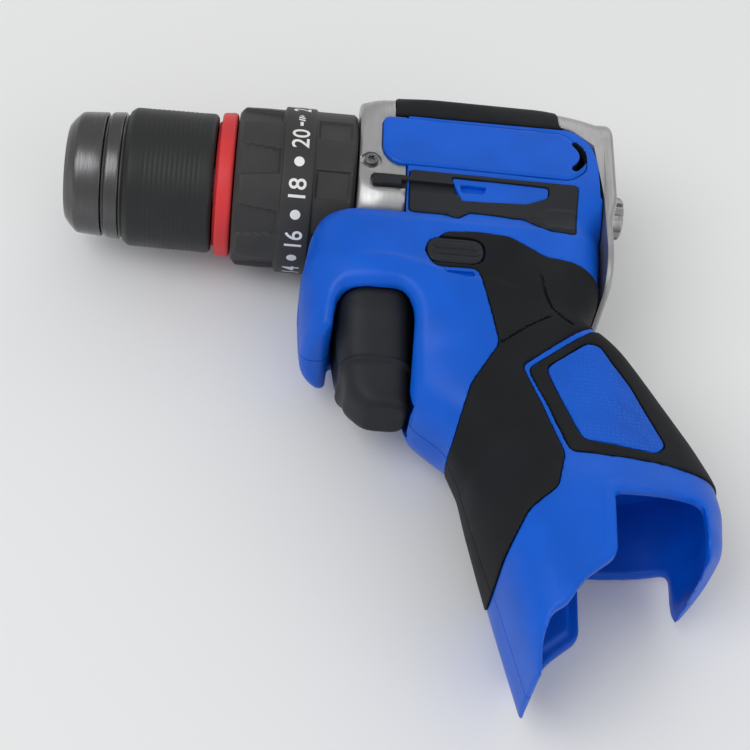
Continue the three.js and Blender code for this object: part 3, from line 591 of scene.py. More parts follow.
def wound(name, stackFrom, stackTo):  # rotor: steel laminations between enamelled wire and a commutator
    material, tree, shader, where = startMaterial(name)
    turned = placeGroup(tree, turnedLines, where, Scale=2600.0)
    along = addNode(tree, "ShaderNodeSeparateXYZ", {0: where}).outputs["X"]
    after = mathNode(tree, "GREATER_THAN", along, (toolOrigin[0] + stackFrom) / 1000)
    before = mathNode(tree, "LESS_THAN", along, (toolOrigin[0] + stackTo) / 1000)
    copper = mixColour(tree, turned["Streak"], (0.42, 0.15, 0.05), (0.72, 0.3, 0.12))
    steel = mixColour(tree, turned["Streak"], (0.2, 0.2, 0.21), (0.36, 0.36, 0.37))
    iron = mathNode(tree, "MULTIPLY", after, before)
    feed(tree, shader["Base Color"], mixColour(tree, iron, copper, steel))
    shader["Metallic"].default_value = 1
    roughened(tree, shader, turned["Streak"], 0.42, 0.28)
    bumped(tree, shader, turned["Height"], 0.00002)
    return material


blueColour = (0.0, 0.098, 0.6)
bluePlastic = plastic("bluePlastic", blueColour, 0.38, grain=1700.0, depth=0.000025)
blueDimpled = dimpledPlastic("blueDimpled", blueColour, 0.42)
blackPlastic = plastic("blackPlastic", (0.014, 0.016, 0.02), 0.48, depth=0.00004, scuffTint=3)
collarPlastic = plastic("collarPlastic", (0.041, 0.041, 0.042), 0.48, 1300.0, 0.00005, scuffTint=2.5)
sleevePlastic = plastic("sleevePlastic", (0.022, 0.023, 0.0235), 0.4, 1400.0, scuffTint=2.5)
redPlastic = plastic("redPlastic", (0.62, 0.04, 0.045), 0.4, scuffTint=1.25)
silverPaint = metal("silverPaint", (0.38, 0.38, 0.38), 0.34, 0.75, 1800.0, 0.000004, 0.96)
whitePaint = plastic("whitePaint", (0.82, 0.82, 0.8), 0.5, depth=0.00001, wear=0.7, scuffTint=0.6)
gripRubber = rubber("gripRubber", (0.0075, 0.0082, 0.0105), 0.7)
plastic("insulation", (0.02, 0.02, 0.02), 0.55)
plastic("redInsulation", (0.5, 0.02, 0.02), 0.5)
anodised = metal("anodised", (0.115, 0.115, 0.118), 0.27, metallic=0.9, dark=0.85)
brightSteel = metal("brightSteel", (0.58, 0.58, 0.59), 0.26)
toolSteel = metal("toolSteel", (0.2, 0.2, 0.21), 0.34)
metal("springSteel", (0.4, 0.4, 0.42), 0.3, lines=1200.0)
brass = metal("brass", (0.75, 0.5, 0.2), 0.3)
metal("magnetite", (0.1, 0.1, 0.105), 0.6, metallic=0.3, lines=900.0)
wound("rotorMetal", 35, 57)
lensClear = clearLens("lensClear")
print("materials made")


# The body's skin: a barrel round the motor and a handle below it, clipped by the flat flanks.
bodyShape = {
    "barrel": [  # x, half height, half width, squareness
        [0, 26, 26, 3], [5, 27.4, 27.4, 3.2], [22, 28, 28.5, 3.2], [58, 27.6, 28.5, 3.2],
        [70, 26, 27.6, 3.2], [76, 23.5, 26.2, 3.6],
    ],
    "handle": [  # y, front x, rear x, half width, squareness
        [-12, -7, 75, 25.6, 4], [-21, -9.8, 76, 27, 4.4], [-30, -13.6, 76.5, 28.6, 4.4],
        [-44, -15.4, 75.5, 28.6, 4], [-50, -15.3, 73, 28, 3.4], [-54, -14.4, 72, 27.5, 3],
        [-58, -10.6, 74.6, 26.8, 3], [-61, -6.5, 79.6, 26.2, 3], [-65, 0, 84, 25.4, 2.9],
        [-72, 8, 89.2, 23.6, 2.8], [-82, 14.5, 95.3, 22.8, 2.8], [-88, 20.5, 98.7, 22.8, 2.8],
        [-95, 30, 102.7, 23.2, 2.7], [-106, 34.5, 108, 24.6, 2.6], [-116, 37, 109, 26.6, 2.8],
        [-128, 40.5, 107.5, 28.5, 3], [-142, 44.5, 101, 28.5, 3.2], [-156, 48.5, 96, 27, 3.4],
        [-172, 53, 90, 24.5, 3.6],
    ],
    "hookFront": [[-66, -13.6], [-59, -14.6], [-53, -15.1], [-44, -15.4]],  # the nose ahead of the trigger
    "fillet": 5, "wall": 3.6, "archWall": 5.6, "rim": 3.6, "edge": 1.2,
    "lowFlank": 26.2, "shoulder": 0.9, "lip": 0.88,
}
barrelCurve = smoothProfile(bodyShape["barrel"], 5)
handleCurve = smoothProfile(bodyShape["handle"], 4)
rearEnd, gearCaseEnd, lowEnd = 76, 14.5, -169.95
caseStep, capStep = -26.6, -45.5  # below these the housing reaches on under the gear case and the rear cap
triggerArch = sideShape([
    [-4.5, -104], [-5.3, -62.8], [-4.4, -53.4], [14.6, -53.4], [18.4, -60], [18.4, -104],
], 5)
latchNotch = sideShape([
    [73.5, -119], [100, -118.5], [100, -133], [104, -159], [64, -186], [54.5, -178], [53.6, -162],
    [55.8, -155.5], [59.4, -154], [64, -147], [73.2, -139.5],
], 3)
lipZone = sideShape([
    [-30, -58], [-17, -54], [-12.3, -50.3], [-7.5, -46.7], [-1.9, -45], [5.4, -44.2], [12.7, -44.4],
    [21.6, -46.5], [27.9, -48.8], [35.1, -49.6], [60, -56], [60, -112], [-30, -112],
], 5)


def flankHeight(x, y):  # the flank steps out at the shoulder, and round the trigger and the latch window
    rise = np.maximum(smoothStep(0.5 - lipZone(x, y) / 2.2), smoothStep((4.2 - latchNotch(x, y)) / 1.6))
    step = bodyShape["shoulder"] * smoothStep((-26.8 - y) / 3.4)
    return bodyShape["lowFlank"] + step + bodyShape["lip"] * rise


def barrelSkin(x, y, z):
    up, side, power = barrelCurve(x)
    return roundMax(squircle(y, z, up, side, power), slab(x, 0, rearEnd), 1)


def bodySkin(x, y, z):
    front, rear, side, power = handleCurve(y)
    handle = roundMax(squircle(x - (front + rear) / 2, z, (rear - front) / 2, side, power), y + 12, 1)
    hookX, hookY = np.array(bodyShape["hookFront"]).T[::-1]
    front = np.interp(y, hookY, hookX)
    hook = squircle(x - (front + rear) / 2, z, (rear - front) / 2, side, power)
    hook = roundMax(both(hook, x - 8), both(-66 - y, y + 40), 3)
    body = roundMin(barrelSkin(x, y, z), either(handle, hook), bodyShape["fillet"])
    return roundMax(body, np.abs(z) - flankHeight(x, y), bodyShape["edge"])


def baseField(x, y):  # what is left above the slanted base, from toe to heel
    toe, slope = 64, (31, 33)
    return both(((x - toe) * slope[0] - (y - lowEnd) * slope[1]) / math.hypot(*slope), lowEnd - y)


panels = {
    "upper": sideShape([[7, 11.5], [7, -3], [11, -7.6], [66, -8.4], [71, -4], [71, 4], [64, 10.5]], 2.5),
    "vent": sideShape([
        [15.5, -10], [68, -10.6], [66.5, -30], [58, -30], [51, -26], [34, -25], [30, -28], [27, -26.4],
        [15.5, -26.4],
    ], 1.5),
    "strip": sideShape([[28.4, -11.8], [58.6, -12.6], [58.3, -16.6], [51.6, -19.8], [31.6, -20.7]], 1.2),
    "gripFront": sideShape([
        [26.6, -34], [36, -33.1], [46, -33.8], [57, -40.5], [68, -41], [88, -44.5], [67.4, -63.4],
        [57.9, -71], [49.4, -77.7], [54.9, -90.4], [60.6, -107], [58, -119], [50, -126], [44, -138],
        [42, -150], [20, -150], [20, -99], [31, -98], [35, -84], [43, -71], [36.4, -47], [23.4, -47],
        [20.2, -41],
    ], 2),
    "gripBack": sideShape([
        [68.6, -65], [58.9, -72.6], [51.2, -78.8], [56.6, -90.5], [62.3, -106.2], [97, -108.6],
        [130, -106], [110, -40], [84, -50.5],
    ], 2),
    "inlay": sideShape([
        [56.5, -78.2], [69, -68], [73, -67.8], [81.7, -80.4], [90, -101], [86.6, -104.7], [66, -101.8],
    ], 2),
    "lever": sideShape([[21, -45.5], [38, -45.5], [38, -36.5], [21, -36.5]], 4.4),
    "cap": sideShape([
        [62.6, 42], [62.6, 13.6], [66.5, 12.4], [70, 10.3], [72.8, 7], [74.4, 3], [75, -1], [75.2, -14],
        [78, -14], [78, 42],
    ], 1.5),
}
pocketDepth, pocketGap, pocketEdge, skinDepth, panelRise = 1.7, 0.2, 0.35, 1.4, 0.6
selectorWindow = (37.4, 15, -6.6), (53.8, 60, 6.6)
screwPlaces = [[-8, -44], [71.4, -36], [31.5, 23.6], [62.6, -60], [36, -91]]
triggerShape = {
    "stations": [  # y, front x, half width
        [-50.5, -2, 20], [-54, -4.7, 22], [-60, -4.4, 20.5], [-67, -3.6, 17.2], [-73.4, -2.4, 14.2],
        [-80, 0, 9.8], [-85, 5, 8],
    ],
    "back": 19, "top": -50.5, "bottom": -85, "ridge": -73.4, "ridgeRise": 0.7, "power": 3.4, "travel": 6,
}
triggerCurve = smoothProfile(triggerShape["stations"], 2)


def triggerSection(x, y, z):
    front, half = triggerCurve(y)
    back = triggerShape["back"]
    return squircle(x - (front + back) / 2, z, (back - front) / 2, half, triggerShape["power"])


def roomField(x, y, z):  # what the trigger sweeps, and a little more
    swept = triggerSection(x, y, z)
    for share in (1 / 3, 2 / 3, 1, 1.15):
        swept = either(swept, triggerSection(x - share * triggerShape["travel"], y, z))
    return both(swept - 0.9, slab(y, triggerShape["bottom"] - 0.6, triggerShape["top"] + 0.5))


def holeAt(x, y, at, radius):  # a round hole along z
    return np.hypot(x - at[0], y - at[1]) - radius


def coverPocket(x, y):
    return both(slab(x, 10.7, 75.3), 12.3 - y)


def pocketed(shape, skin, *outlines):  # shallow pockets that panels sit in
    return carved(shape, *((both(outline, -(skin + pocketDepth)), pocketEdge) for outline in outlines))


housing = {  # radii and reaches of the rooms inside it, then its ribs, screw holes and shallow slots
    "collarRoom": 27.7, "spigotRoom": 23.2, "motorRoom": 18.8, "lensRoom": 2.9, "lensHeight": -50,
    "spigotSpan": (0, 27.1), "motorSpan": (25.8, 66.9), "lensSpan": (-18, -8.6), "collarEnd": 0.5,
    "switchRoom": ((-3, -80.3, -10.3), (57.3, -51.7, 10.3)),
    "terminalRoom": ((45.7, -120, -15.3), (80.3, -80, 15.3)),
    "upperRibs": [20, 34, 60], "handleRibs": [-60, -74], "ribWidth": 2.2, "boss": 4.4,
    "web": ((30, 110), (-97, -93)), "handleRibSpan": (26, 60), "ribsAbove": -33,
    "screwHead": (3.3, 15.7), "screwShank": (1.8, -1.0), "pilot": 1.8, "pilotEnd": 13,
    "stripSlotDepth": 1.5, "leverNotchDepth": 1.0, "bracketSpan": (-6, 11), "bracketFloor": 12,
}
stripSlot = sideShape([[30.9, -14.2], [39.3, -14.3], [38.4, -17.4], [31.7, -17.6]], 1)
leverNotch = sideShape([[25.6, -48.4], [35.4, -48.3], [35.4, -50.4], [27.4, -50.8]], 1.0)
bracket = sideLine([[70 - 0.1 * (y - 1.4) ** 2, y] for y in np.linspace(6.2, -3.8, 9)], 2.3)


def housingRibs(x, y, skin):  # the web over the socket, the ribs and the screw bosses
    webX, webY = housing["web"]
    ribs = both(slab(x, *webX), slab(y, *webY))
    for low in housing["upperRibs"]:
        ribs = either(ribs, both(slab(x, low, low + housing["ribWidth"]), housing["ribsAbove"] - y))
    for low in housing["handleRibs"]:
        ribs = either(ribs, both(slab(y, low, low + housing["ribWidth"]), slab(x, *housing["handleRibSpan"])))
    ribs = both(ribs, skin + bodyShape["wall"] - 0.5)
    for at in screwPlaces:
        ribs = either(ribs, both(holeAt(x, y, at, housing["boss"]), skin + 0.8))
    return ribs


def screwHoles(x, y, z, right):
    holes = []
    for at in screwPlaces:
        if right:  # the screws go in from this side
            holes += [(both(holeAt(x, y, at, radius), low - z), 0.3)
                      for radius, low in (housing["screwHead"], housing["screwShank"])]
        else:
            holes.append((both(holeAt(x, y, at, housing["pilot"]), z - housing["pilotEnd"]), 0.1))
    return holes


def housingField(x, y, z, right):
    wall, skin, arch, out = bodyShape["wall"], bodySkin(x, y, z), triggerArch(x, y), np.hypot(y, z)
    ahead = both(out - housing["collarRoom"], x - housing["collarEnd"])  # where the collar turns
    hollow = both(skin + wall, both(bodyShape["archWall"] - arch, wall - ahead))
    shell = carved(skin, (arch, bodyShape["rim"]), (hollow, 0.4))
    spigot = both(out - housing["spigotRoom"], slab(x, *housing["spigotSpan"]))
    motor = both(out - housing["motorRoom"], slab(x, *housing["motorSpan"]))
    lensHole = np.hypot(y - housing["lensHeight"], z) - housing["lensRoom"]
    electrics = either(boxField(x, y, z, *housing["switchRoom"]), boxField(x, y, z, *housing["terminalRoom"]))
    clear = either(either(spigot, motor), electrics)
    shell = either(shell, both(housingRibs(x, y, skin), -clear))
    shell = carved(  # the base, and room for what the housing holds
        roundMax(shell, baseField(x, y), 1.1), (ahead, 1.0), (both(x - gearCaseEnd - gap, caseStep - y), 0.5),
        (spigot, 0.2), (both(rearEnd - x, capStep - y), 0.5), (roomField(x, y, z), 0.3), (arch, 0.2),
        (panels["lever"](x, y) - gap, 0.5), (both(lensHole, slab(x, *housing["lensSpan"])), 0.3),
        (boxField(x, y, z, *selectorWindow), 0.3), (latchNotch(x, y), 1.1),
    )
    shell = pocketed(
        shell, skin, *(panels[name](x, y) - pocketGap for name in ("upper", "gripFront", "gripBack")),
        both(panels["vent"](x, y) - pocketGap, -panels["strip"](x, y)), coverPocket(x, y),
        panels["cap"](x, y) - pocketGap,
    )
    through = both(slab(y, *housing["bracketSpan"]), housing["bracketFloor"] - z)
    shell = carved(
        shell, (both(stripSlot(x, y), -(skin + housing["stripSlotDepth"])), 0.3),
        (both(leverNotch(x, y), -(skin + housing["leverNotchDepth"])), 0.3),
        (both(bracket(x, y), through), 0.2), *screwHoles(x, y, z, right),
    )
    return roundMax(shell, gap / 2 - z, 0.3)


def blackened(piece):  # the faces inside the bracket's slot get the black plastic as painted shade, and those inside the selector's window get the black plastic too
    x, y, z = toolPoints(piece.data.polygons, "center").T
    # painted shade: black inside the bracket's deep slot
    inside = (bracket(x, y) < 0.3) & (np.abs(z) > 11) & (bodySkin(x, y, np.abs(z)) < 0.2)
    inside |= boxField(x, y, z, *selectorWindow) < 0.4
    piece.data.materials.append(blackPlastic)
    piece.data.polygons.foreach_set("material_index", inside.astype(np.int32))


def insideShell(x, y, z):  # well below the outer skin, and away from the trigger, the web and the socket
    deep = (bodySkin(x, y, np.abs(z)) < -2.4) & (y > -92) & (y < 17)
    return deep & (triggerArch(x, y) > 8) & (np.hypot(x - 73, y + 55) > 10)


fine = 0.7  # the grid step of the larger pieces
for side in ("left", "right"):
    half = netMesh("housingHalf", lambda x, y, z: housingField(x, y, z, side == "right"), (-18, -171, 0),
                   (110, 29, 28.2), fine)
    if side == "right":
        half = mirrored("housingHalf", half, keep=False)
    thinned(half, 0.72, insideShell).name = f"housingShell_{side}"
    place(half, "housing", "blue_plastic", bluePlastic, f"housing_{side}")
    # painted shade: black inside the bracket's slot; the selector's window also gets the black plastic inside
    blackened(half)
    print("housing half made:", side, len(half.data.polygons), "faces")


gearCase = {"spigot": 22.9, "neck": 14.5, "bore": 21.3, "bearing": 11.3, "seat": 3.1, "seatDepth": 24.6}
caseHeadPlace = (3.6, -6.5)
caseNotch = sideShape([[3.6, -12.0], [18, -12.2], [18, -16.8], [3.6, -16.6]], 1)
caseBlock = sideShape([[1.4, -18.2], [13.6, -18.2], [13.6, -25.2], [1.4, -25.0]], 0.8)


def gearCaseField(x, y, z):
    flank = bodyShape["lowFlank"] - 0.7 * smoothStep(caseBlock(x, y) / 0.8)
    skin = roundMax(barrelSkin(x, y, z), np.abs(z) - flank, bodyShape["edge"])
    flange = roundMax(skin, both(x - gearCaseEnd, -26.2 - y), 0.5)
    body = either(flange, rodField(x, y, z, 1, 26.8, gearCase["spigot"], 0.6))
    body = roundMin(body, rodField(x, y, z, -36, 1, gearCase["neck"], 0.6), 1.0)
    body = carved(body, (rodField(x, y, z, 3, 40, gearCase["bore"]), 0.3),
                  (rodField(x, y, z, -50, 5, gearCase["bearing"]), 0.4))
    body = pocketed(body, skin, panels["upper"](x, y) - pocketGap, coverPocket(x, y))
    seat = both(holeAt(x, y, caseHeadPlace, gearCase["seat"]), gearCase["seatDepth"] - np.abs(z))
    return carved(body, (both(caseNotch(x, y), -(skin + pocketDepth)), 0.4), (seat, 0.5))


caseShell = netMesh("gearCaseShell", gearCaseField, (-36, -28, -27.4), (27, 28.4, 27.4), fine,
                    0.5, lambda x, y, z: np.hypot(y, z) < 22.5)
place(caseShell, "housing", "silver_plastic", silverPaint, "gear_case")
print("gear case made:", len(caseShell.data.polygons), "faces")


# Panels and grips stand a little proud of the housing and reach into their pockets.
creases = sideLine([[55.1, -46.9], [56.4, -52.8], [58.5, -57.5], [61.6, -60.5], [64.6, -62.2]], 0.9)
seam = sideLine([[43.6, -70.8], [50.7, -65.6], [58, -61]], 0.7)
bump = sideShape([[52.1, -24.9], [58.1, -21], [67.6, -20.2], [66.8, -29.7], [57.5, -30.2]], 1.5)
ventSlot = sideShape([[13, -14.4], [29.5, -14.6], [31.3, -18.7], [13, -18.5]], 0.6)
plateFloor = 12  # no panel reaches further in


def panelField(skin, side, proud, edge):
    return cutOut(roundMax(side, skin - proud, edge), skin + skinDepth, 0.2)


def upperField(x, y, z):
    panel = panelField(bodySkin(x, y, z), panels["upper"](x, y), panelRise, 0.9)
    return both(cutOut(panel, bracket(x, y), 0.3), plateFloor - z)


def ventField(x, y, z):
    raised = 0.45 + 0.7 * smoothStep(-bump(x, y) / 1.1)
    skin = bodySkin(x, y, z)
    side = either(panels["vent"](x, y), both(caseNotch(x, y) + 0.3, 4.2 - x))
    panel = carved(panelField(skin, side, raised, 0.5), (panels["strip"](x, y) - 0.25, 0.3),
                   (both(ventSlot(x, y), -(skin + 0.9)), 0.3))
    return both(roundMax(panel, slab(y, -40, -9.8), 0.2), plateFloor - z)


def gripFrontField(x, y, z, right=False):
    skin = bodySkin(x, y, z)
    grip = carved(
        panelField(skin, panels["gripFront"](x, y), panelRise, 0.9),
        (both(either(creases(x, y), seam(x, y)), -(skin + 0.3)), 0.35),
        (panels["lever"](x, y) - 0.5, 0.5), (roomField(x, y, z), 0.4),
    )
    grip = cutOut(roundMax(grip, baseField(x, y), 0.6), both(rearEnd - x, capStep - y), 0.4)
    for at in (screwPlaces if right else ()):
        grip = cutOut(grip, both(holeAt(x, y, at, 3.6), 10 - z), 0.4)
    return roundMax(grip, gap / 2 - z, 0.15)


def gripBackField(x, y, z):
    grip = panelField(bodySkin(x, y, z), panels["gripBack"](x, y), panelRise, 0.9)
    grip = cutOut(grip, panels["inlay"](x, y) - 0.35, 0.5)
    return roundMax(grip, gap / 2 - z, 0.15)


def inlayField(x, y, z):
    return both(panelField(bodySkin(x, y, z), panels["inlay"](x, y), 0.5, 0.6), 5 - z)


def insidePanel(x, y, z):
    return bodySkin(x, y, np.abs(z)) < -0.9


flankPieces = [  # name, node, field, low, high, material, slot, step
    ("upperPlate", "upper_panel", upperField, (6, -9.5, 14), (72, 13, 28.3),
     bluePlastic, "blue_plastic", 0.6),
    ("ventPlate", "vent_panel", ventField, (3, -31, 18), (69.5, -9, 28.3),
     blackPlastic, "black_plastic", 0.6),
    ("gripPad", "grip_front", gripFrontField, (19, -151, 0), (78, -32, 28.3),
     gripRubber, "grip_rubber", fine),
    ("gripBackPad", "grip_back", gripBackField, (49, -110, 0), (110.5, -50, 28.3),
     gripRubber, "grip_rubber", fine),
    ("inlayPlate", "grip_inlay", inlayField, (55, -106, 4), (92, -66, 28.3),
     blueDimpled, "blue_plastic", 0.6),
]
for name, node, field, low, high, material, slotName, step in flankPieces:
    left = netMesh(f"{name}_left", field, low, high, step, 0.66, insidePanel)
    if node == "grip_front":  # screws pass through the right one
        other = netMesh("other", lambda x, y, z: gripFrontField(x, y, z, True), low, high, step)
        right = thinned(mirrored(f"{name}_right", other, keep=False), 0.66, insidePanel)
    else:
        right = mirrored(f"{name}_right", left)
    for side, piece in (("left", left), ("right", right)):
        place(piece, "housing", slotName, material, f"{node}_{side}")
        if node == "upper_panel":
            # painted shade: black inside the bracket's slot
            blackened(piece)
    print("panel pair made:", name, len(left.data.polygons), "faces")


topCover = {"grooves": [58, 61, 64, 67, 70], "grooveHalf": 0.6, "grooveReach": 11, "screwHole": 3.6}


def topCoverField(x, y, z):
    skin, half = bodySkin(x, y, z), topCover["grooveHalf"]
    across = both(np.abs(z) - topCover["grooveReach"], -skin)
    return carved(
        panelField(skin, both(slab(x, 11, 75), 12.6 - y), panelRise, 0.9),
        (panels["cap"](x, y) - pocketGap, 0.5), (boxField(x, y, z, *selectorWindow), 0.6),
        *((both(slab(x, middle - half, middle + half), across), 0.3) for middle in topCover["grooves"]),
        (both(holeAt(x, y, screwPlaces[2], topCover["screwHole"]), z + 10), 0.4),
    )


cover = netMesh("topPad", topCoverField, (10, 11.6, -27.6), (76, 29.4, 27.6), fine,
                0.5, lambda x, y, z: bodySkin(x, y, z) < -0.9)
place(cover, "housing", "grip_rubber", gripRubber, "top_cover")
print("top cover made:", len(cover.data.polygons), "faces")


rearCap = {"front": 76.3, "back": 80.5, "top": 23, "bottom": -44, "half": 25.8, "corner": 12, "bevel": 1.8,
           "slope": 2.0, "groove": 4.2, "hubRadius": 7.4, "hubBack": 87.4, "flutes": 10, "fluteHalf": 0.8,
           "fluteDepth": 1.1, "fluteFrom": 82, "boreRadius": 3.1, "boreFrom": 85.5}


def rearCapField(x, y, z):
    middle, tall = (rearCap["top"] + rearCap["bottom"]) / 2, (rearCap["top"] - rearCap["bottom"]) / 2
    overY, overZ = np.abs(y - middle) - tall, np.abs(z) - rearCap["half"]
    beyond = np.hypot(both(overY + rearCap["corner"], 0), both(overZ + rearCap["corner"], 0))
    side = either(both(overY, overZ), -rearCap["corner"]) + beyond
    back = rearCap["back"] - rearCap["slope"] * smoothStep((-12 - y) / 12)
    plate = both(roundMax(side, x - back, rearCap["bevel"]), rearCap["front"] - x)
    plate = cutOut(plate, both(np.abs(side + rearCap["groove"]) - 0.5, back - 0.5 - x), 0.3)
    out = np.hypot(y, z)
    hubRadius = rearCap["hubRadius"] - 0.5 * smoothStep((x - 81) / 5)
    hub = roundMax(out - hubRadius, both(x - rearCap["hubBack"], 76.4 - x), 1.1)
    pitch = 2 * math.pi / rearCap["flutes"]
    across = np.abs((np.arctan2(z, y) / pitch) % 1 - 0.5) * pitch * out
    flute = both(hubRadius - rearCap["fluteDepth"] - out, rearCap["fluteFrom"] - x)
    hub = cutOut(hub, both(across - rearCap["fluteHalf"], flute), 0.3)
    bore = both(out - rearCap["boreRadius"], rearCap["boreFrom"] - x)
    body = cutOut(roundMin(plate, hub, 1.0), bore, 0.5)
    up, wide, power = barrelCurve(x)  # its upper corners wrap round the housing's end
    skin = roundMax(squircle(y, z, up, wide, power), np.abs(z) - flankHeight(x, y), bodyShape["edge"])
    corner = both(roundMax(panels["cap"](x, y), skin - 0.2, 0.5), both(-(skin + skinDepth), x - 77))
    return either(body, corner)


cap = netMesh("rearCapShell", rearCapField, (62, -44.5, -27.5), (88, 29, 27.5), 0.5,
              0.5, lambda x, y, z: (x < 77) & (y < 12))
place(cap, "housing", "silver_plastic", silverPaint, "rear_cap")
print("rear cap made:", len(cap.data.polygons), "faces")


# The torque collar: a grip zone with flutes in front, a plain ring for the numbers, and a low rear band.
collar = {
    "flutes": 8, "ring": 26.5, "edge": 0.35, "relieved": 23.5,
    "front": {"turn": 110, "from": (-38, 12.2), "to": (-24, 8.8), "low": -37.4, "high": -24.1, "floor": 24.0},
    "rear": {"turn": 125, "from": (-13, 10), "to": (-1, 10), "low": -12.9, "high": -2.0, "floor": 24.7},
}


def collarRelief(x, r, turn):
    # Broad flat flutes in front, and shallower ones behind them, half a pitch on.
    pitch = 360 / collar["flutes"]
    cut = 0
    for zone in (collar["front"], collar["rear"]):
        (x0, half0), (x1, half1) = zone["from"], zone["to"]
        half = np.interp(x, (x0, x1), (half0, half1))
        aside = np.abs((np.degrees(turn) - zone["turn"] + pitch / 2) % pitch - pitch / 2)
        floor = zone["floor"] / np.cos(np.radians(aside))
        inside = smoothStep(0.5 + np.radians(half - aside) * r / collar["edge"])
        inside = inside * smoothStep((x - zone["low"]) / 0.6) * smoothStep((zone["high"] - x) / 0.6)
        cut = cut + inside * np.maximum(r - floor, 0)
    return np.where(r > collar["relieved"], cut, 0)


collarPiece = turnedMesh("collarShell", [
    [-38, 14.8], [-38, 23.2], [-37.2, 24.2], [-36.2, 25.2], [-30, 25.4], [-23.7, 25.4], [-23.4, 26.5],
    [-13.9, 26.5], [-13.5, 25.8], [-1.8, 25.8], [-0.6, 24.8], [-0.6, 22.4], [-36.6, 22.4], [-36.6, 14.8],
], collar["flutes"] * 64, 0.35, 0.8, collarRelief)
place(collarPiece, "torque_collar", "black_plastic", collarPlastic, "torque_collar")


# Its numbers: even settings as digits, odd ones as dots, and a drill bit after the last.
scale = {"first": 2, "last": 20, "step": 18, "lastAt": -2.5, "size": 7.616, "middle": -18.5, "lift": 0.06,
         "dot": 1.6}


def wrapped(piece, setting):  # a flat shape in millimetres, laid round the ring at that setting
    centre = math.radians(scale["lastAt"] + (setting - scale["last"]) * scale["step"])
    radius = collar["ring"] + scale["lift"]
    for vertex in piece.data.vertices:
        angle = centre + vertex.co.x / radius
        point = scale["middle"] - vertex.co.y, radius * math.sin(angle), radius * math.cos(angle)
        vertex.co = Vector((np.array(point) + toolOrigin) / 1000)


def splitFine(mesh):  # so that it can bend
    work = bmesh.new()
    work.from_mesh(mesh)
    bmesh.ops.triangulate(work, faces=work.faces[:])
    bmesh.ops.subdivide_edges(work, edges=work.edges[:], cuts=2, use_grid_fill=True)
    work.to_mesh(mesh)
    work.free()


def flatShape(name, outlines):
    mesh = bpy.data.meshes.new(name)
    points, faces = [], []
    for outline in outlines:
        faces.append(list(range(len(points), len(points) + len(outline))))
        points += [(u, v, 0) for u, v in outline]
    mesh.from_pydata(points, [], faces)
    return linked(name, mesh)


def textShape(label):
    curve = bpy.data.curves.new("digits", "FONT")
    curve.body = label
    curve.size = scale["size"]
    curve.align_x, curve.align_y = "CENTER", "CENTER"
    curve.offset = 0.07
    curve.resolution_u = 4
    temporary = bpy.data.objects.new("digits", curve)
    bpy.context.scene.collection.objects.link(temporary)
    graph = bpy.context.evaluated_depsgraph_get()
    graph.update()
    mesh = bpy.data.meshes.new_from_object(temporary.evaluated_get(graph))
    bpy.data.objects.remove(temporary)
    middle = [sum(f(v.co[k] for v in mesh.vertices) for f in (min, max)) / 2 for k in (0, 1)]
    for vertex in mesh.vertices:
        vertex.co.x -= middle[0]
        vertex.co.y -= middle[1]
    return linked("digits", mesh)


def joined(name, pieces):
    work = bmesh.new()
    for piece in pieces:
        work.from_mesh(piece.data)
        bpy.data.objects.remove(piece)
    mesh = bpy.data.meshes.new(name)
    work.to_mesh(mesh)
    work.free()
    return linked(name, mesh)


dotTurns = [k * math.pi / 12 for k in range(24)]
dotOutline = [(scale["dot"] * math.cos(t), scale["dot"] * math.sin(t)) for t in dotTurns]
bitOutlines = [
    [(-3.0, -0.5), (-0.9, -0.5), (-0.9, 0.5), (-3.0, 0.5)],
    [(-0.5, -1.0), (0.3, -1.0), (0.9, 1.0), (0.1, 1.0)],
    [(0.8, -1.0), (1.6, -1.0), (2.2, 1.0), (1.4, 1.0)],
    [(2.1, -0.9), (3.3, 0.0), (2.6, 0.9)],
]
marks = []
for setting in range(scale["first"], scale["last"] + 2):
    if setting > scale["last"]:
        mark = flatShape("bit", bitOutlines)
    elif setting % 2:
        mark = flatShape("dot", [dotOutline])
    else:
        mark = textShape(str(setting))
    splitFine(mark.data)
    wrapped(mark, setting)
    marks.append(mark)
place(joined("collarScale", marks), "torque_collar", None, whitePaint)
print("collar and its scale made")


# The chuck: nose, sleeve and ring are turned, the core has its mouth and the three jaw ways.
nose = turnedMesh("chuckNoseShell", [
    [-91, 12.7], [-91, 15.1], [-89.6, 16.9], [-87.6, 18.9], [-86.6, 19.25], [-79.4, 19.7], [-79.1, 18.5],
    [-77.6, 18.4], [-77.6, 17.9], [-81.8, 17.9], [-81.8, 12.7],
], 96, 0.3, 3)
place(nose, "chuck_sleeve", "dark_steel", anodised, "chuck_nose")

sleeveRibs = {"over": 21, "pitch": 1.5, "depth": 0.14, "low": -68.0, "high": -47.5, "bandEnd": -73.2}


def sleeveRelief(x, r, turn):  # fine ribs round its grip
    rib = 0.5 + 0.5 * np.cos(2 * math.pi * x / sleeveRibs["pitch"])
    zone = smoothStep((x - sleeveRibs["low"]) / 1.5) * smoothStep((sleeveRibs["high"] - x) / 1.5)
    return np.where(r > sleeveRibs["over"], sleeveRibs["depth"] * rib * zone, 0)


sleeve = turnedMesh("chuckSleeveShell", [
    [-77.2, 17.9], [-77.2, 18.7], [-78.4, 18.75], [-78.3, 19.5], [-77.6, 19.9], [-73.9, 20.2], [-73.5, 19.4],
    [-72.7, 19.4], [-72.3, 20.7], [-70.7, 21.9], [-69.9, 22.0], [-60, 22.15], [-45.6, 22.2], [-44.6, 21.3],
    [-44.6, 17.9],
], 144, 0.5, 0.4, sleeveRelief)
place(sleeve, "chuck_sleeve", "black_plastic", sleevePlastic, "chuck_sleeve")
sleeve.data.materials.append(anodised)
for face in sleeve.data.polygons:  # its front band is the nose's metal
    face.material_index = int(face.center.x * 1000 - toolOrigin[0] < sleeveRibs["bandEnd"])

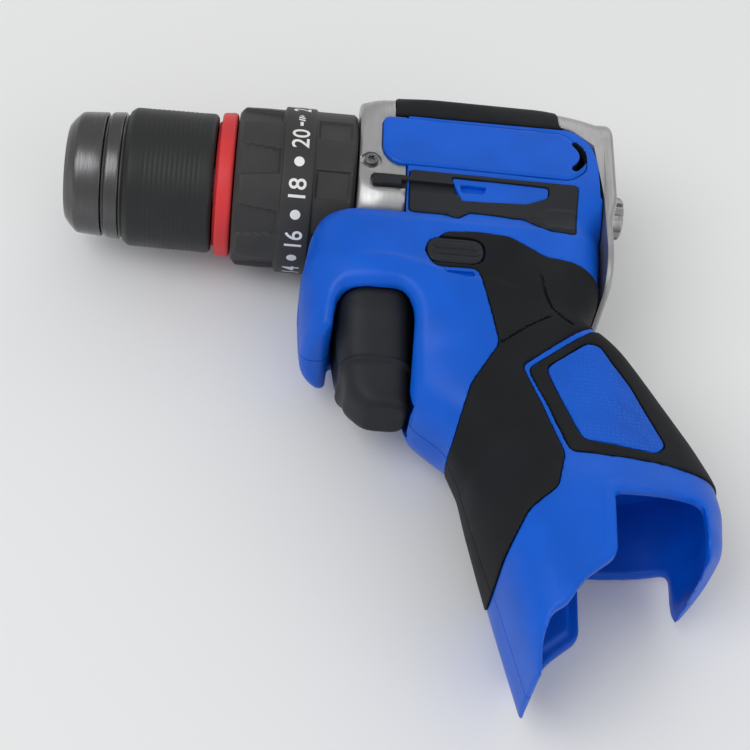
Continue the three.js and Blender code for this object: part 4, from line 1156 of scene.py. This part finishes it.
ring = turnedMesh("chuckRingShell", [
    [-44.2, 5.9], [-44.2, 19.8], [-43.5, 20.0], [-43.3, 22.4], [-42.8, 22.8], [-39.5, 23.1], [-38.7, 22.7],
    [-38.4, 22.0], [-38.4, 5.9],
], 120, 0.4, 3)
place(ring, "spindle", "red_plastic", redPlastic, "chuck_ring")

jaws = {"count": 3, "radius": 3, "length": 28, "tilt": math.radians(18), "reach": 2.6, "seam": 0.35,
        "tooth": 0.16, "toothPitch": 1.1}
chuck = {"front": 12.4, "frontSpan": (-90.6, -75), "middle": 17.6, "middleSpan": (-81.5, -47),
         "mouth": 5.6, "mouthFlare": 1.6, "mouthEnd": -64, "socket": 5.9, "socketFrom": -61.3, "jawWay": 14}


def jawRod(x, y, z, radius, length):
    u, v = x - (chuckTip - 0.5), y - jaws["reach"]
    along = u * math.cos(jaws["tilt"]) + v * math.sin(jaws["tilt"])
    aside = np.hypot(v * math.cos(jaws["tilt"]) - u * math.sin(jaws["tilt"]), z)
    return roundMax(aside - radius, slab(along, 0, length), 0.3)


def spun(y, z, turn):
    return y * math.cos(turn) + z * math.sin(turn), z * math.cos(turn) - y * math.sin(turn)


def jawField(x, y, z):
    face = (jaws["seam"] + 0.577 * np.abs(z) - y) * 0.866  # two flats, 120 degrees apart
    teeth = jaws["tooth"] * np.abs((x / jaws["toothPitch"]) % 1 - 0.5)
    teeth = teeth * smoothStep((x + 90.5) / 1) * smoothStep((-76 - x) / 2)
    jaw = roundMax(jawRod(x, y, z, jaws["radius"], jaws["length"]), face + teeth, 0.15)
    return roundMax(jaw, -90.8 - x, 0.3)


def chuckCore(x, y, z):
    out = np.hypot(y, z)
    core = roundMax(out - chuck["front"], slab(x, *chuck["frontSpan"]), 0.9)
    waist = chuck["middle"] - 1.6 * smoothStep((x + 81) / 0.6) * smoothStep((-78 - x) / 0.6)
    waist = waist - 2 * smoothStep((x + 49) / 0.8)
    core = either(core, roundMax(out - waist, slab(x, *chuck["middleSpan"]), 0.6))
    mouthWidth = chuck["mouth"] + chuck["mouthFlare"] * smoothStep((-83 - x) / 7)
    core = cutOut(core, both(out - mouthWidth, x - chuck["mouthEnd"]), 0.6)
    radius, length = jaws["radius"] + gap, jaws["length"] + chuck["jawWay"]
    for k in range(jaws["count"]):
        core = cutOut(core, jawRod(x, *spun(y, z, 2 * math.pi * k / jaws["count"]), radius, length), 0.2)
    return cutOut(core, both(out - chuck["socket"], chuck["socketFrom"] - x), 0.2)


core = netMesh("chuckCoreShell", chuckCore, (-91, -18, -18), (-46.5, 18, 18), 0.6,
               0.5, lambda x, y, z: (x > -80) & (np.hypot(y, z) > 7))
place(core, "spindle", "bright_steel", brightSteel, "chuck_body")
jaw = netMesh("jaw", jawField, (-91.2, -1, -3.4), (-62, 15.2, 3.4), 0.35)
for k in range(jaws["count"]):
    spin = Matrix.Rotation(2 * math.pi * k / jaws["count"], 4, "X")
    place(movedCopy(f"jawPiece_{k + 1}", jaw, spin), f"jaw_{k + 1}", "dark_steel", toolSteel,
          f"chuck_jaw_{k + 1}")
bpy.data.objects.remove(jaw)
print("chuck made:", len(core.data.polygons), "faces in its core")


triggerStem = (15, -70, -4), (26.7, -62, 4)


def triggerField(x, y, z):
    scoop = 0.9 * np.exp(-(z / 7) ** 2) * smoothStep((-54 - y) / 4) * smoothStep((y + 80) / 4)
    scoop = scoop * smoothStep((8 - x) / 6)
    body = triggerSection(x, y, z) + scoop
    body = roundMax(body, slab(y, triggerShape["bottom"], triggerShape["top"]), 2.2)
    ridge = np.exp(-((y - triggerShape["ridge"]) / 0.8) ** 2)
    body = both(body - triggerShape["ridgeRise"] * ridge * (body < 2), x - triggerShape["back"])
    return either(body, boxField(x, y, z, *triggerStem, 0.5))


lever = {"outer": 27.5, "inner": 19.9, "ridgeAt": -41, "ridgePitch": 2.4, "ridgeDepth": 0.55,
         "bar": ((24.5, -44, -20.4), (34.5, -38, 20.4))}


def leverField(x, y, z):  # a ridged pad on each flank, and the bar between them
    side = panels["lever"](x, y)
    rib = 0.5 + 0.5 * np.cos(2 * math.pi * (y - lever["ridgeAt"]) / lever["ridgePitch"])
    top = lever["outer"] - lever["ridgeDepth"] * (1 - rib) * smoothStep(-(side + 1.2) / 0.8)
    pads = roundMax(side, both(np.abs(z) - top, lever["inner"] - np.abs(z)), 0.7)
    return either(pads, boxField(x, y, z, *lever["bar"], 0.4))


selector = {"low": (38, 22.6, -6), "high": (46, 30.6, 6), "ridges": [39.9, 41.9, 43.9], "rise": 0.75,
            "ridgeHalf": 0.55, "ridgeFoot": 28, "ridgeReach": 4.6}


def selectorField(x, y, z):
    body = boxField(x, y, z, selector["low"], selector["high"], 0.9)
    half, reach, top = selector["ridgeHalf"], selector["ridgeReach"], selector["high"][1] + selector["rise"]
    for middle in selector["ridges"]:
        low, high = (middle - half, selector["ridgeFoot"], -reach), (middle + half, top, reach)
        body = roundMin(body, boxField(x, y, z, low, high, 0.35), 0.3)
    return body


controls = [  # name, body and node, field, low, high, step, ratio
    ("triggerShell", "trigger", triggerField, (-6, -86, -23), (27, -50, 23), 0.5, 0.5),
    ("leverShell", "direction_lever", leverField, (20.6, -46, -28), (38.4, -36, 28), 0.45, 0.5),
    ("selectorShell", "speed_selector", selectorField, (37.5, 22, -6.5), (46.5, 32, 6.5), 0.4, None),
]
for name, node, field, low, high, step, ratio in controls:
    place(netMesh(name, field, low, high, step, ratio), node, "black_plastic", blackPlastic, node)
lens = turnedMesh("lensShell", [
    [-14.9, 0.02], [-14.8, 0.9], [-14.4, 1.9], [-13.7, 2.6], [-9.6, 2.6], [-9.6, 0.02],
], 32, 0.3, 1.5, centre=(housing["lensHeight"], 0))
place(lens, "housing", "clear_lens", lensClear, "work_light_lens")
print("controls made")


# Screws lie along z with the head's face at 0.
screwKinds = {
    "case": {"head": 3.0, "deep": 2.4, "shank": 1.5, "length": 30.4, "recess": 1.75},
    "gearCase": {"head": 2.2, "deep": 1.58, "shank": 1.0, "length": 1.6, "recess": 1.3},
}
screwFaces = {"case": -18.4, "gearCase": 26.22}  # where the heads' faces stand
thread = {"pitch": 0.9, "depth": 0.22, "root": 0.18}


def screwField(x, y, z, head, deep, shank, length, recess):
    out, turn = np.hypot(x, y), np.arctan2(y, x)
    screw = roundMax(out - head, slab(z, 0, deep), 0.3)
    wave = np.abs(((z + turn / (2 * math.pi) * thread["pitch"]) / thread["pitch"]) % 1 - 0.5) * 2
    radius = np.minimum(shank - thread["root"] + thread["depth"] * wave, shank)
    tip = smoothStep((length - z) / 2.2)
    screw = either(screw, both(out - radius * tip, slab(z, deep - 0.2, length)))
    star = recess * (0.84 + 0.16 * np.cos(6 * turn))
    return cutOut(screw, both(out - star, z - deep * 0.55), 0.12)


def screwMesh(name, kind, low, high, step, ratio=None):
    return netMesh(name, lambda x, y, z: screwField(x, y, z, **screwKinds[kind]), low, high, step, ratio)


caseScrew = screwMesh("caseScrew", "case", (-3.2, -3.2, -0.2), (3.2, 3.2, 30.6), 0.3, 0.4)
for i, (x, y) in enumerate(screwPlaces):
    matrix = Matrix.Translation((x / 1000, y / 1000, screwFaces["case"] / 1000))
    place(movedCopy(f"caseScrewPiece_{i + 1}", caseScrew, matrix), "housing", "dark_steel", toolSteel,
          f"case_screw_{i + 1}")
caseHead = screwMesh("caseHead", "gearCase", (-2.4, -2.4, -0.2), (2.4, 2.4, 1.8), 0.22)
for side, name in ((1, "left"), (-1, "right")):
    x, y = caseHeadPlace
    matrix = Matrix.Translation((x / 1000, y / 1000, side * screwFaces["gearCase"] / 1000))
    if side > 0:
        matrix = matrix @ Matrix.Rotation(math.pi, 4, "X")
    place(movedCopy(f"caseHeadPiece_{name}", caseHead, matrix), "housing", "bright_steel", toolSteel,
          f"gear_case_screw_{name}")
bpy.data.objects.remove(caseScrew)
bpy.data.objects.remove(caseHead)


terminalBlock = {"body": ((46, -98, -15), (80, -92, 15)), "blades": [56, 74], "slotHalf": 0.8,
                 "grooves": [51, 65, 79], "grooveHalf": 0.9}
contact = {"half": 0.5, "width": 4, "from": -107, "to": -91, "holeAt": -103, "holeRadius": 0.9}


def terminalField(x, y, z):
    slot, groove = terminalBlock["slotHalf"], terminalBlock["grooveHalf"]
    cuts = [((at - slot, -120, -4.3), (at + slot, -80, 4.3)) for at in terminalBlock["blades"]]
    cuts += [((at - groove, -99, -12), (at + groove, -96.8, 12)) for at in terminalBlock["grooves"]]
    body = boxField(x, y, z, *terminalBlock["body"], 0.8)
    return carved(body, *((boxField(x, y, z, low, high), 0.3) for low, high in cuts))


def contactField(x, y, z, at):  # a blade with a chamfered end and a hole
    half, width = contact["half"], contact["width"]
    blade = boxField(x, y, z, (at - half, contact["from"], -width), (at + half, contact["to"], width), 0.2)
    chamfer = (contact["from"] - y) + np.abs(z) * 0.6 - 1.0
    hole = np.hypot(y - contact["holeAt"], z) - contact["holeRadius"]
    return both(both(blade, chamfer * 0.8), -hole)


terminals = netMesh("terminalShell", terminalField, (45.5, -98.5, -15.5), (80.5, -91.5, 15.5), 0.5, 0.4)
place(terminals, "housing", "black_plastic", blackPlastic, "terminal_block")
for i, at in enumerate(terminalBlock["blades"]):
    blade = netMesh(f"contactBlade_{i + 1}", lambda x, y, z: contactField(x, y, z, at),
                    (at - 0.6, -107.2, -4.2), (at + 0.6, -90.8, 4.2), 0.25, 0.5)
    place(blade, "housing", "contact_brass", brass, f"battery_contact_{i + 1}")
print("screws and contacts made")


# Pieces that the CAD already has right keep their shape.
finishes = {
    "brightSteel": ["spindle", "spindle_bearing", "output_carrier", "first_carrier", "ring_gear",
                    "clutch_plate"],
    "toolSteel": [f"{stage}_planet_{k}" for stage in ("output", "first") for k in (1, 2, 3)] + ["motor_can"],
    "springSteel": ["clutch_spring"],
    "magnetite": ["magnet_left", "magnet_right"],
    "blackPlastic": ["spring_nut", "motor_end_plate", "fan", "trigger_switch"],
    "redInsulation": ["motor_lead_plus"],
    "insulation": ["motor_lead_minus"],
    "rotorMetal": ["rotor"],
}
for material, nodeNames in finishes.items():
    for node in nodeNames:
        for holder in frame["nodes"][node].material_slots:
            holder.material = bpy.data.materials[material]


def setFloor():  # a sheet with its own slight tone
    mesh = bpy.data.meshes.new("studioFloor")
    half = 3.0
    corners = [(-half, -half, 0), (half, -half, 0), (half, half, 0), (-half, half, 0)]
    mesh.from_pydata(corners, [], [(0, 1, 2, 3)])
    floor = bpy.data.objects.new("studioFloor", mesh)
    bpy.context.scene.collection.objects.link(floor)
    material, tree, shader, where = startMaterial("floorPaper")
    surface = placeGroup(tree, mouldedGrain, where, Grain_Scale=700.0, Wave_Scale=2.0)
    tone = studio["floor"]
    feed(tree, shader["Base Color"], mixColour(tree, surface["Shade"], tone, lighter(tone, 0.985)))
    shader["Roughness"].default_value = 0.9
    shader["Specular IOR Level"].default_value = 0.1
    mesh.materials.append(material)


setFloor()
bpy.context.view_layer.update()
